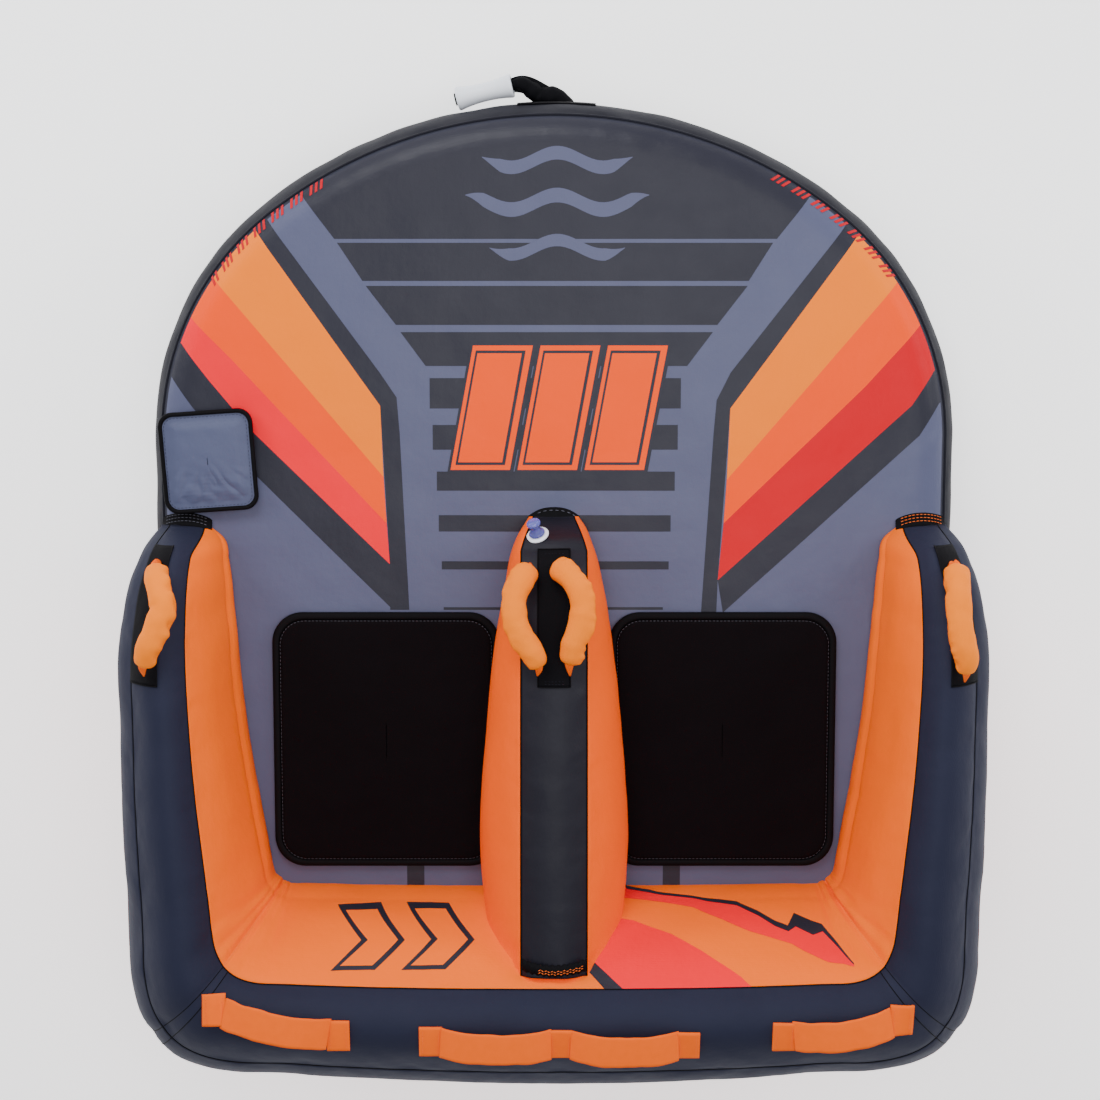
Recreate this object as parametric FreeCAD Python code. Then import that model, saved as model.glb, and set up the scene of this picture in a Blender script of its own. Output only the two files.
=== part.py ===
"""Two-rider inflatable towable tube: a D-shaped air deck, a U-shaped bolster that stands on its
rear half as a backrest with two armrests, and a divider between the two seats.

Millimetres. +Z is up and the deck lies flat on Z = 0. +Y is the tow direction and +X is the
riders' right. The origin is the centre of the footprint, on the floor.
"""

import FreeCAD
import Part

import math
import os

V = FreeCAD.Vector

# ---------------------------------------------------------------- driving dimensions
DECK_HALF_WIDTH = 740.0
DECK_FRONT_Y = 860.0
DECK_REAR_Y = -860.0
DECK_THICK = 240.0
FRONT_RADIUS = 865.0
SHOULDER_RADIUS = 540.0
REAR_CORNER_RADIUS = 190.0
SIDE_ROUNDING = 84.0        # how far the deck's flat faces stop short of its widest line
SIDE_FULLNESS = 0.85        # exponent of the sidewall's rounded profile
SIDE_LEVELS = 13            # outlines the sidewall is lofted through
SEAM_HEIGHT = 27.0          # edge seams, measured from the bottom and from the top

COVER = 2.0                 # fabric cover
AIR_GAP = 1.5               # between a cover and its bladder
FILM = 1.5                  # bladder wall
BLADDER_INSET = COVER + AIR_GAP
PIPING_RADIUS = 2.8
CLEAR = 0.5                 # between separate soft pieces that lie on each other

BAFFLE_X = (-480.0, -240.0, 0.0, 240.0, 480.0)

# Bolster: every station gives the inner foot, the greatest width and the height above the deck.
ARM_STATIONS = (            # y, inner foot |x|, width, height
    (94.0, 628.0, 88.0, 22.0),
    (76.0, 606.0, 126.0, 105.0),
    (32.0, 595.0, 156.0, 178.0),
    (-60.0, 586.0, 184.0, 232.0),
    (-266.0, 567.0, 207.0, 282.0),
    (-532.0, 524.0, 245.0, 318.0),
    (-940.0, 470.0, 275.0, 330.0),
)
REAR_STATIONS = (           # x, inner foot |y|, width, height
    (-860.0, 560.0, 285.0, 330.0),
    (-400.0, 578.0, 312.0, 330.0),
    (0.0, 580.0, 323.0, 330.0),
    (400.0, 578.0, 312.0, 330.0),
    (860.0, 560.0, 285.0, 330.0),
)
ARM_FOOT_X = 718.0          # outer foot of an arm, on the deck's edge seam
REAR_FOOT_Y = 838.0         # outer foot of the backrest, on the deck's rear edge seam
FOOT_DROP = 28.0            # the bolster's feet reach this far below the deck's flat top
MITRE_CORNER = (513.0, -580.0)
MITRE_OUTER = (750.0, -870.0)
CORNER_AXIS = (616.0, -740.0)
CORNER_RADIUS = 133.0

# Divider: y, half width, height above the deck.
DIVIDER_STATIONS = (
    (112.0, 44.0, 18.0),
    (100.0, 54.0, 92.0),
    (66.0, 70.0, 152.0),
    (0.0, 86.0, 192.0),
    (-160.0, 109.0, 228.0),
    (-350.0, 125.0, 256.0),
    (-450.0, 130.0, 268.0),
    (-560.0, 125.0, 276.0),
    (-720.0, 104.0, 284.0),
)
DIVIDER_BAND = 58.0         # half width of the divider's dark top panel

PAD_SIZE = (418.0, 478.0)
PAD_CENTRE = (308.0, -302.0)
PAD_CORNER = 56.0
PAD_THICK = 12.0
PAD_BINDING = 10.0

FLAP_SIZE = (160.0, 172.0)
FLAP_CENTRE = (-624.0, 216.0)
FLAP_CORNER = 26.0
FLAP_THICK = 9.0
FLAP_BINDING = 9.0
FLAP_LIFT = 17.0            # underside above the deck: it bridges the valve
FLAP_TILT = 4.0             # degrees, following the deck's rounded edge

VALVE_FLANGE_RADIUS = 29.0
VALVE_NECK_RADIUS = 19.0
VALVE_INSERT_RADIUS = 15.0
VALVE_CAP_RADIUS = 15.5
VALVE_SINK = 26.0           # how deep the neck reaches into its bladder

GRIP_RADIUS = 20.0
GRIP_STRAP = (22.0, 3.0)
LOOP_STRAP = (56.0, 3.0)
TAB_SIZE = (42.0, 60.0, 2.4)
LOOP_PIVOT = 12.0           # the loops' ends stand this far off the cover
LOOP_RISE = 26.0
# x and y of each sewn tab of the four rear handles; the middle three belong to one double handle
REAR_TABS = (
    (-592.0, -729.0),
    (-376.0, -774.0),
    (-215.0, -783.0),
    (12.0, -789.0),
    (234.0, -791.0),
    (401.0, -775.0),
    (605.0, -746.0),
)

TOW_ANCHOR = (4.0, 118.0)   # x and z of the tow loop's root on the front sidewall
SLEEVE_LENGTH = 104.0
SLEEVE_RADIUS = 23.0
SLEEVE_WAIST = 17.5
SLEEVE_BORE = 13.5

ZIP_HALF_LENGTH = 500.0
ZIP_HEIGHT = 118.0

parts = {}


def export(name, *solids):
    """Keeps one named sub-part, written out at the end."""
    parts[name] = solids[0] if len(solids) == 1 else Part.makeCompound(list(solids))


def only_solid(shape):
    """The largest solid of a boolean result."""
    return max(shape.Solids, key=lambda s: s.Volume)


def fuse_all(shapes):
    whole = shapes[0]
    for s in shapes[1:]:
        whole = whole.fuse(s)
    return whole.removeSplitter()


def arc_about(centre, radius, start, end, z):
    """Arc in a level plane, its angles in degrees from +X."""
    points = []
    for share in (0.0, 0.5, 1.0):
        a = math.radians(start + (end - start) * share)
        points.append(V(centre[0] + radius * math.cos(a), centre[1] + radius * math.sin(a), z))
    return Part.Arc(*points).toShape()


def box_between(low, high):
    return Part.makeBox(high[0] - low[0], high[1] - low[1], high[2] - low[2], V(*low))


# ---------------------------------------------------------------- deck
def deck_outline(inset, z):
    """Plan outline of the deck, inset from its widest line: front, shoulders, sides and rear corners."""
    reach = FRONT_RADIUS - SHOULDER_RADIUS
    lean = math.degrees(math.asin((DECK_HALF_WIDTH - SHOULDER_RADIUS) / reach))
    front = (0.0, DECK_FRONT_Y - FRONT_RADIUS)
    shoulder_x = DECK_HALF_WIDTH - SHOULDER_RADIUS
    shoulder_y = front[1] + reach * math.cos(math.radians(lean))
    side = DECK_HALF_WIDTH - inset
    corner_x = DECK_HALF_WIDTH - REAR_CORNER_RADIUS
    corner_y = DECK_REAR_Y + REAR_CORNER_RADIUS
    rear = DECK_REAR_Y + inset
    shoulder = SHOULDER_RADIUS - inset
    corner = REAR_CORNER_RADIUS - inset
    return Part.Wire([
        arc_about((shoulder_x, shoulder_y), shoulder, 0, 90 - lean, z),
        arc_about(front, FRONT_RADIUS - inset, 90 - lean, 90 + lean, z),
        arc_about((-shoulder_x, shoulder_y), shoulder, 90 + lean, 180, z),
        Part.makeLine(V(-side, shoulder_y, z), V(-side, corner_y, z)),
        arc_about((-corner_x, corner_y), corner, 180, 270, z),
        Part.makeLine(V(-corner_x, rear, z), V(corner_x, rear, z)),
        arc_about((corner_x, corner_y), corner, 270, 360, z),
        Part.makeLine(V(side, corner_y, z), V(side, shoulder_y, z)),
    ])


def side_profile(angle):
    """Height and inset of the sidewall at an angle round its bulge: -90 is the bottom, 90 the top."""
    a = math.radians(angle)
    half = DECK_THICK / 2
    rise = math.copysign(abs(math.sin(a)) ** SIDE_FULLNESS, a)
    return half + half * rise, SIDE_ROUNDING * (1 - math.cos(a) ** SIDE_FULLNESS)


def deck_body(inset):
    """The inflated deck as a closed solid, shrunk by inset on every side."""
    wires = []
    for level in range(SIDE_LEVELS):
        z, back = side_profile(-90 + 180 * level / (SIDE_LEVELS - 1))
        z = inset + z * (DECK_THICK - 2 * inset) / DECK_THICK
        wires.append(deck_outline(back + inset, z))
    return Part.makeLoft(wires, True, True)


def seam_inset(height):
    """How far the sidewall has drawn in at a given height."""
    share = abs(height - DECK_THICK / 2) / (DECK_THICK / 2)
    a = math.asin(share ** (1 / SIDE_FULLNESS))
    return SIDE_ROUNDING * (1 - math.cos(a) ** SIDE_FULLNESS)


def slab(low, high):
    reach = 1200.0
    return box_between((-reach, -reach, low), (reach, reach, high))


def make_deck():
    shell = deck_body(0).cut(deck_body(COVER))
    gap = PIPING_RADIUS + 0.2
    top_seam = DECK_THICK - SEAM_HEIGHT
    export("deck_top_panel", only_solid(shell.common(slab(top_seam + gap, DECK_THICK + 10))))
    export("deck_side_band", only_solid(shell.common(slab(SEAM_HEIGHT + gap, top_seam - gap))))
    export("deck_bottom_panel", only_solid(shell.common(slab(-10, SEAM_HEIGHT - gap))))
    rings = []
    for height in (SEAM_HEIGHT, top_seam):
        path = deck_outline(seam_inset(height) + 0.5, height)
        start = path.OrderedEdges[0].valueAt(path.OrderedEdges[0].FirstParameter)
        circle = Part.Wire(Part.makeCircle(PIPING_RADIUS, start, V(0, 1, 0)))
        rings.append(only_solid(path.makePipeShell([circle], True, False)))
    # the upper piping stops where the bolster is sewn over it
    for tube in (arm_tube(-1, -CLEAR, 10), arm_tube(1, -CLEAR, 10), rear_tube(-CLEAR, 10)):
        rings[1] = rings[1].cut(tube)
    rings[1] = max(rings[1].Solids, key=lambda solid: solid.Volume)
    export("deck_edge_piping", *rings)
    export("deck_bladder", deck_body(BLADDER_INSET).cut(deck_body(BLADDER_INSET + FILM)))
    inside = deck_body(BLADDER_INSET + FILM + CLEAR)
    webs = []
    for x in BAFFLE_X:
        web = box_between((x - FILM / 2, -1000, 0), (x + FILM / 2, 1000, DECK_THICK))
        webs.append(only_solid(web.common(inside)))
    export("deck_bladder_baffles", *webs)


def floor_edges(first, last, drop):
    """The underside of a cushion's cross-section, run on straight down by drop."""
    if not drop:
        return [Part.makeLine(first, last)]
    down = V(0, 0, -drop)
    return [
        Part.makeLine(first, first + down),
        Part.makeLine(first + down, last + down),
        Part.makeLine(last + down, last),
    ]


# ---------------------------------------------------------------- bolster
def bolster_section(place, width, height, foot, inset, drop):
    """One cross-section: a leaning inner face, a rounded top and a full outer side.

    place turns (across, up) into a point, foot is the outer foot's distance from the inner one,
    inset shrinks the section and drop runs it on straight down below its feet."""
    def at(across, up):
        a = inset + across * (width - 2 * inset) / width
        h = up * (height - inset) / height if up > 0 else up
        return place(a, h)

    outer_foot = min(foot, 0.9 * width)
    inner_base, outer_base = at(0.0, -FOOT_DROP), at(outer_foot, -FOOT_DROP)
    seam = at(0.34 * width, 0.86 * height)
    shoulder = at(0.82 * width, 0.81 * height)
    return Part.Wire([
        Part.Arc(inner_base, at(0.10 * width, 0.45 * height), seam).toShape(),
        Part.Arc(seam, at(0.49 * width, height), shoulder).toShape(),
        Part.Arc(shoulder, at(width, 0.42 * height), outer_base).toShape(),
    ] + floor_edges(outer_base, inner_base, drop))


def arm_tube(side, inset, drop=0):
    """An armrest, side -1 on the left and 1 on the right, run on past the rear corner."""
    wires = []
    for y, inner, width, height in ARM_STATIONS:
        def place(a, h, y=y, inner=inner):
            return V(side * (inner + a), y, DECK_THICK + h)
        if y == ARM_STATIONS[0][0]:
            y -= inset
            place.__defaults__ = (y, inner)
        shrink = min(inset, 0.4 * height)
        wires.append(bolster_section(place, width, height, ARM_FOOT_X - inner, shrink, drop))
    return Part.makeLoft(wires, True, True)


def rear_tube(inset, drop=0):
    """The backrest, run on past both rear corners."""
    wires = []
    for x, inner, width, height in REAR_STATIONS:
        def place(a, h, x=x, inner=inner):
            return V(x, -(inner + a), DECK_THICK + h)
        wires.append(bolster_section(place, width, height, REAR_FOOT_Y - inner, inset, drop))
    return Part.makeLoft(wires, True, True)


def mitre_block(side, shift):
    """Everything on the arm's side of the mitre seam of a rear corner, moved by shift towards the arm."""
    run_x = MITRE_OUTER[0] - MITRE_CORNER[0]
    run_y = MITRE_OUTER[1] - MITRE_CORNER[1]
    normal = V(-side * run_y, run_x, 0).normalize()
    size = 2600.0
    block = Part.makeBox(size, size, size, V(0, -size / 2, -size / 2))
    block.rotate(V(0, 0, 0), V(0, 0, 1), math.degrees(math.atan2(normal.y, normal.x)))
    block.translate(V(side * MITRE_CORNER[0], MITRE_CORNER[1], 0) + normal * shift)
    return block


def corner_waste(side, inset):
    """What is cut off to round a rear corner of the bolster in plan."""
    x, y = CORNER_AXIS
    reach = 400.0
    low_x = min(side * x, side * (x + reach))
    block = box_between((low_x, y - reach, 100), (low_x + reach, y, 700))
    post = Part.makeCylinder(CORNER_RADIUS - inset, 600, V(side * x, y, 100))
    return block.cut(post)


def finish_tube(tube, inset, deck_clearance, side=0, mitre_gap=0.25):
    """Mitres a tube (side 0 is the backrest), rounds its corners and seats it on the deck."""
    if side:
        tube = tube.common(mitre_block(side, mitre_gap)).cut(corner_waste(side, inset))
    else:
        for s in (-1, 1):
            tube = tube.cut(mitre_block(s, -mitre_gap)).cut(corner_waste(s, inset))
    return only_solid(tube.cut(deck_body(-deck_clearance)))


def split_regions(stations, place_at):
    """Two solids that part a tube's cover: the inner face's side and the low outer side."""
    inner_wires, outer_wires = [], []
    for station, _, width, height in stations:
        place = place_at(station)
        inner = [(-0.6, -0.6), (0.5, -0.6), (0.5, 0.45), (0.34, 0.86), (0.16, 1.35), (-0.6, 1.35)]
        outer = [(0.5, -0.9), (1.4, -0.9), (1.4, 0.52), (0.5, 0.52)]
        for wires, corners in ((inner_wires, inner), (outer_wires, outer)):
            points = [place(a * width, h * height) for a, h in corners]
            wires.append(Part.makePolygon(points + points[:1]))
    return Part.makeLoft(inner_wires, True, True), Part.makeLoft(outer_wires, True, True)


def cover_panels(prefix, shell, regions):
    inner, outer = regions
    export(prefix + "_inner_panel", only_solid(shell.common(inner)))
    export(prefix + "_outer_panel", only_solid(shell.common(outer)))
    export(prefix + "_top_panel", only_solid(shell.cut(inner).cut(outer)))


def make_arm(side):
    name = "left_arm" if side < 0 else "right_arm"
    outside = finish_tube(arm_tube(side, 0), 0, CLEAR, side)
    inside = arm_tube(side, COVER, 2 * FOOT_DROP)
    inside = inside.common(mitre_block(side, -50)).cut(corner_waste(side, COVER))
    feet = {s[0]: s[1] for s in ARM_STATIONS}

    def place_at(y):
        return lambda a, h: V(side * (feet[y] + a), y, DECK_THICK + h)
    front = ARM_STATIONS[0]
    stations = ((front[0] + 20,) + front[1:],) + ARM_STATIONS[1:]
    feet[front[0] + 20] = front[1]
    cover_panels(name, outside.cut(inside), split_regions(stations, place_at))
    hull = finish_tube(arm_tube(side, BLADDER_INSET), BLADDER_INSET, CLEAR + 1, side, 1)
    wall = BLADDER_INSET + FILM
    hollow = finish_tube(arm_tube(side, wall), wall, CLEAR + 1 + FILM, side, 1 + FILM)
    export(name + "_bladder", hull.cut(hollow))
    return outside


def make_backrest():
    outside = finish_tube(rear_tube(0), 0, CLEAR)
    inside = rear_tube(COVER, 2 * FOOT_DROP)
    for s in (-1, 1):
        inside = inside.cut(mitre_block(s, 50)).cut(corner_waste(s, COVER))
    feet = {s[0]: s[1] for s in REAR_STATIONS}

    def place_at(x):
        return lambda a, h: V(x, -(feet[x] + a), DECK_THICK + h)
    cover_panels("backrest", outside.cut(inside), split_regions(REAR_STATIONS, place_at))
    hull = finish_tube(rear_tube(BLADDER_INSET), BLADDER_INSET, CLEAR + 1, 0, 1)
    wall = BLADDER_INSET + FILM
    hollow = finish_tube(rear_tube(wall), wall, CLEAR + 1 + FILM, 0, 1 + FILM)
    export("backrest_bladder", hull.cut(hollow))
    return outside


# ---------------------------------------------------------------- divider
def divider_tube(inset, drop=0):
    """The cushion between the seats, run on past the backrest's inner face."""
    wires = []
    for y, half, height in DIVIDER_STATIONS:
        if y == DIVIDER_STATIONS[0][0]:
            y -= inset
        h = height - min(inset, 0.4 * height)
        w = half - inset
        band = min(DIVIDER_BAND, 0.62 * half) * w / half
        z = DECK_THICK
        right_foot = V(0.70 * w, y, z - 3)
        left_foot = V(-0.70 * w, y, z - 3)
        right_seam = V(band, y, z + 0.93 * h)
        left_seam = V(-band, y, z + 0.93 * h)
        wires.append(Part.Wire([
            Part.Arc(left_foot, V(-w, y, z + 0.42 * h), left_seam).toShape(),
            Part.Arc(left_seam, V(0, y, z + h), right_seam).toShape(),
            Part.Arc(right_seam, V(w, y, z + 0.42 * h), right_foot).toShape(),
        ] + floor_edges(right_foot, left_foot, drop)))
    return Part.makeLoft(wires, True, True)


def seat_divider(tube, inset, deck_clearance):
    """Rests the divider on the deck and butts it against the backrest."""
    backrest = rear_tube(-inset - CLEAR)
    return only_solid(tube.cut(deck_body(-deck_clearance)).cut(backrest))


def make_divider():
    outside = seat_divider(divider_tube(0), 0, CLEAR)
    inside = divider_tube(COVER, 60)
    shell = outside.cut(inside)
    bore = placed(Part.makeCylinder(VALVE_NECK + 0.6, 80, V(0, 0, -60)), *divider_valve_seat())
    wires = []
    for y, half, height in DIVIDER_STATIONS:
        if y == DIVIDER_STATIONS[0][0]:
            y += 20
        band = min(DIVIDER_BAND, 0.62 * half)
        corners = ((-band, 0.5), (band, 0.5), (band, 1.4), (-band, 1.4))
        points = [V(x, y, DECK_THICK + z * height) for x, z in corners]
        wires.append(Part.makePolygon(points + points[:1]))
    middle = Part.makeLoft(wires, True, True)
    reach = 1000.0
    sides = shell.cut(middle)
    left = box_between((-reach, -reach, 0), (0, reach, reach))
    right = box_between((0, -reach, 0), (reach, reach, reach))
    export("divider_left_panel", only_solid(sides.common(left)))
    export("divider_right_panel", only_solid(sides.common(right)))
    export("divider_top_panel", only_solid(shell.common(middle).cut(bore)))
    hull = seat_divider(divider_tube(BLADDER_INSET), BLADDER_INSET, CLEAR + 1)
    wall = BLADDER_INSET + FILM
    hollow = seat_divider(divider_tube(wall), wall, CLEAR + 1 + FILM)
    export("divider_bladder", hull.cut(hollow).cut(bore))
    return outside


# ---------------------------------------------------------------- small helpers
def placed(shape, position, axis):
    """Stands a shape built along +Z at a position, along an axis."""
    shape = shape.copy()
    turn = FreeCAD.Rotation(V(0, 0, 1), V(*axis))
    shape.Placement = FreeCAD.Placement(V(*position), turn).multiply(shape.Placement)
    return shape


def ribbon(points, width_dirs, widths, thick):
    """A webbing strap lofted through points, with its width direction and width at each."""
    wires = []
    last = len(points) - 1
    for i, p in enumerate(points):
        tangent = (points[min(i + 1, last)] - points[max(i - 1, 0)]).normalize()
        across = width_dirs[i] - tangent * width_dirs[i].dot(tangent)
        across.normalize()
        out = tangent.cross(across) * (thick / 2)
        side = across * (widths[i] / 2)
        corners = [p - side - out, p + side - out, p + side + out, p - side + out]
        wires.append(Part.makePolygon(corners + corners[:1]))
    return Part.makeLoft(wires, True, True)


def arc_points(start, middle, end, count, low=0.0, high=1.0):
    """Points along the arc through three points, between two shares of its length."""
    arc = Part.Arc(start, middle, end)
    first, span = arc.FirstParameter, arc.LastParameter - arc.FirstParameter
    shares = [low + (high - low) * i / (count - 1) for i in range(count)]
    return [arc.value(first + span * share) for share in shares]


def arc_tube(start, middle, end, outer, inner, low, high):
    """A round sleeve bent along the arc through three points."""
    arc = Part.Arc(start, middle, end)
    first, span = arc.FirstParameter, arc.LastParameter - arc.FirstParameter
    at = arc.value(first + span * low)
    tangent = V(*arc.tangent(first + span * low)[0])
    disc = Part.Face(Part.Wire(Part.makeCircle(outer, at, tangent)))
    hole = Part.Face(Part.Wire(Part.makeCircle(inner, at, tangent)))
    turn = math.degrees(span * (high - low))
    ring = disc.cut(hole)
    circle = arc.toShape().Curve
    return only_solid(ring.revolve(circle.Center, circle.Axis, turn))


def deck_layer(low, high, thick, lift=CLEAR):
    """A patch of cloth on the deck's outside, within a box."""
    skin = deck_body(-(lift + thick)).cut(deck_body(-lift))
    return skin.common(box_between(low, high))


def rounded_slab(size, corner, low, high):
    """A flat slab with rounded corners, centred on the origin in plan."""
    w, l = size[0] / 2, size[1] / 2
    slab_box = box_between((-w, -l, low), (w, l, high))
    edges = [e for e in slab_box.Edges if abs(e.tangentAt(0).z) > 0.9]
    return slab_box.makeFillet(corner, edges)


# ---------------------------------------------------------------- seats, hems and valves
def make_seat_pad(side):
    name = "left_seat_pad" if side < 0 else "right_seat_pad"
    low = DECK_THICK + CLEAR
    whole = rounded_slab(PAD_SIZE, PAD_CORNER, low, low + PAD_THICK)
    core_size = [v - 2 * PAD_BINDING for v in PAD_SIZE]
    core = rounded_slab(core_size, PAD_CORNER - PAD_BINDING, low - 1, low + PAD_THICK + 1)
    pad = whole.common(core)
    binding = whole.cut(core)
    beside = divider_tube(-2 * CLEAR, 20)
    for piece, label in ((pad, name), (binding, name + "_binding")):
        piece.translate(V(side * PAD_CENTRE[0], PAD_CENTRE[1], 0))
        export(label, only_solid(piece.cut(beside)))


def make_hems():
    for side, name in ((-1, "left_arm_hem"), (1, "right_arm_hem")):
        low_x = min(side * 610, side * 760)
        strip = deck_layer((low_x, 60, 217.5), (low_x + 150, 118, 300), 2.0)
        arm = arm_tube(side, -CLEAR, FOOT_DROP)
        export(name, only_solid(strip.cut(arm)))
    strip = deck_layer((-50, 70, 200), (50, 128, 300), 2.0)
    export("divider_front_hem", only_solid(strip.cut(divider_tube(-CLEAR, 20))))


VALVE_NECK = 13.0


def divider_valve_seat():
    """Where the divider's valve sits on its sloping front end, and the way it points."""
    return (-27.0, 88.0, 357.0), (-0.26, 0.80, 0.54)


def make_divider_valve():
    seat = divider_valve_seat()
    flange = Part.makeCylinder(20.5, 7.0, V(0, 0, -4.0))
    neck = Part.makeCylinder(VALVE_NECK, 30.0, V(0, 0, -26.0))
    bore = Part.makeCylinder(VALVE_NECK - 2, 60.0, V(0, 0, -50.0))
    body = placed(flange, *seat).cut(divider_tube(-CLEAR)).fuse(placed(neck, *seat))
    export("divider_valve_flange", only_solid(body.cut(placed(bore, *seat)).removeSplitter()))
    stem = Part.makeCylinder(VALVE_NECK - 3.5, 21.0, V(0, 0, -16.0))
    collar = Part.makeCone(15.0, 11.0, 7.0, V(0, 0, 4.6))
    waist = Part.makeCylinder(6.5, 18.0, V(0, 0, 10.0))
    knob = Part.makeCylinder(12.5, 7.0, V(0, 0, 26.0))
    plug = fuse_all([stem, collar, waist, knob])
    export("divider_valve_plug", placed(plug, *seat))


def deck_valve_bore():
    return Part.makeCylinder(VALVE_NECK_RADIUS + 0.6, 60, V(FLAP_CENTRE[0] + 10, FLAP_CENTRE[1], DECK_THICK - 45))


def make_deck_valve():
    x, y = FLAP_CENTRE[0] + 10, FLAP_CENTRE[1]
    top = DECK_THICK + CLEAR
    flange = Part.makeCylinder(VALVE_FLANGE_RADIUS, 3.0, V(x, y, top))
    neck = Part.makeCylinder(VALVE_NECK_RADIUS, VALVE_SINK + 3.0, V(x, y, top - VALVE_SINK))
    bore = Part.makeCylinder(VALVE_INSERT_RADIUS + 1, 60, V(x, y, top - 45))
    body = flange.fuse(neck).cut(bore).cut(deck_body(-CLEAR).cut(deck_valve_bore()))
    export("deck_valve_flange", only_solid(body.removeSplitter()))
    sleeve = Part.makeCylinder(VALVE_INSERT_RADIUS, 22, V(x, y, top - 19))
    hole = Part.makeCylinder(9.0, 60, V(x, y, top - 40))
    export("deck_valve_insert", sleeve.cut(hole))
    cap = Part.makeCylinder(VALVE_CAP_RADIUS + 6, 5.0, V(x, y, top + 3.6))
    rib = box_between((x - 14, y - 2, top + 8), (x + 14, y + 2, top + 12))
    stem = Part.makeCylinder(8.2, 10, V(x, y, top - 6))
    export("deck_valve_cap", fuse_all([cap, stem, rib]))


def make_valve_flap():
    low = DECK_THICK + 1.0
    high = low + FLAP_LIFT + 6
    whole = rounded_slab(FLAP_SIZE, FLAP_CORNER, low, high)
    core_size = [v - 2 * FLAP_BINDING for v in FLAP_SIZE]
    core = rounded_slab(core_size, FLAP_CORNER - FLAP_BINDING, low - 1, high + 1)
    binding = whole.cut(core)
    panel = whole.common(core).common(slab(high - FLAP_THICK + 1, high))
    for piece in (binding, panel):
        piece.rotate(V(0, 0, 0), V(0, 0, 1), FLAP_TILT)
        piece.translate(V(FLAP_CENTRE[0], FLAP_CENTRE[1], 0))
    clear = deck_body(-CLEAR)
    export("valve_flap_binding", only_solid(binding.cut(clear)))
    export("valve_flap_panel", panel)


# ---------------------------------------------------------------- handles
# Each padded handle: its two sewn ends and the middle of its bow.
PADDED_HANDLES = {
    "divider_left_handle": (V(-37, 52, 418), V(-72, -42, 474), V(-30, -146, 486)),
    "divider_right_handle": (V(25, 60, 418), V(66, -36, 474), V(37, -146, 486)),
    "left_arm_handle": (V(-692, 56, 416), V(-664, -40, 514), V(-700, -134, 524)),
    "right_arm_handle": (V(704, 50, 418), V(692, -42, 514), V(708, -138, 524)),
}
GRIP_BORE = 12.0


def make_padded_handle(name):
    start, middle, end = PADDED_HANDLES[name]
    plane = (middle - start).cross(end - start).normalize()
    path = arc_points(start, middle, end, 13, 0.03, 0.97)
    width, thick = GRIP_STRAP
    export(name + "_strap", ribbon(path, [plane] * 13, [width] * 13, thick))
    grip = arc_tube(start, middle, end, GRIP_RADIUS, GRIP_BORE, 0.15, 0.85)
    export(name + "_grip", grip)


def patch_on(tube_of, low, high):
    """A black patch sewn over a bolster, under a padded handle."""
    return only_solid(tube_of(-(CLEAR + 2.0)).common(box_between(low, high)).cut(tube_of(-CLEAR)))


def make_patches():
    def divider_of(inset):
        return divider_tube(inset)
    export("divider_handle_patch", patch_on(divider_of, (-52, -164, 360), (52, 66, 700)))
    for side, name in ((-1, "left_arm_handle_patch"), (1, "right_arm_handle_patch")):
        def arm_of(inset, side=side):
            return arm_tube(side, inset)
        low_x = min(side * 640, side * 760)
        export(name, patch_on(arm_of, (low_x, -156, 330), (low_x + 120, 78, 700)))


def crown_height(tube, x, y):
    """Height of a tube's top above a place in plan."""
    needle = Part.makeLine(V(x, y, 450), V(x, y, 700))
    return max(v.Z for v in needle.common(tube).Vertexes)


def tab_seat(tube, x, y):
    """Where a rear tab is sewn, and the way out of the cover there."""
    slope = (crown_height(tube, x, y + 12) - crown_height(tube, x, y - 12)) / 24
    return V(x, y, crown_height(tube, x, y)), V(0, -slope, 1).normalize()


def make_rear_handles():
    tabs = []
    tube = rear_tube(0)
    skin = rear_tube(-(CLEAR + 2.4)).cut(rear_tube(-CLEAR))
    half_width, half_length = TAB_SIZE[0] / 2, TAB_SIZE[1] / 2
    for x, y in REAR_TABS:
        window = box_between((x - half_width, y - half_length, 500), (x + half_width, y + half_length, 700))
        tabs.append(only_solid(skin.common(window)))
    export("rear_handle_tabs", *tabs)
    spans = ((0, 1, "rear_left_loop"), (2, 3, "rear_centre_left_loop"),
             (3, 4, "rear_centre_right_loop"), (5, 6, "rear_right_loop"))
    for low, high, name in spans:
        a, out_a = tab_seat(tube, *REAR_TABS[low])
        b, out_b = tab_seat(tube, *REAR_TABS[high])
        along = (b - a).normalize()
        out = (out_a + out_b).normalize()
        start = a + along * 12 + out * LOOP_PIVOT
        end = b - along * 12 + out * LOOP_PIVOT
        middle = (start + end) * 0.5 + out * LOOP_RISE
        path = arc_points(start, middle, end, 15)
        widths = [LOOP_STRAP[0] - 26 * max(0.0, 1 - min(i, 14 - i) / 3) for i in range(15)]
        export(name, ribbon(path, [along.cross(out)] * 15, widths, LOOP_STRAP[1]))


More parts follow.
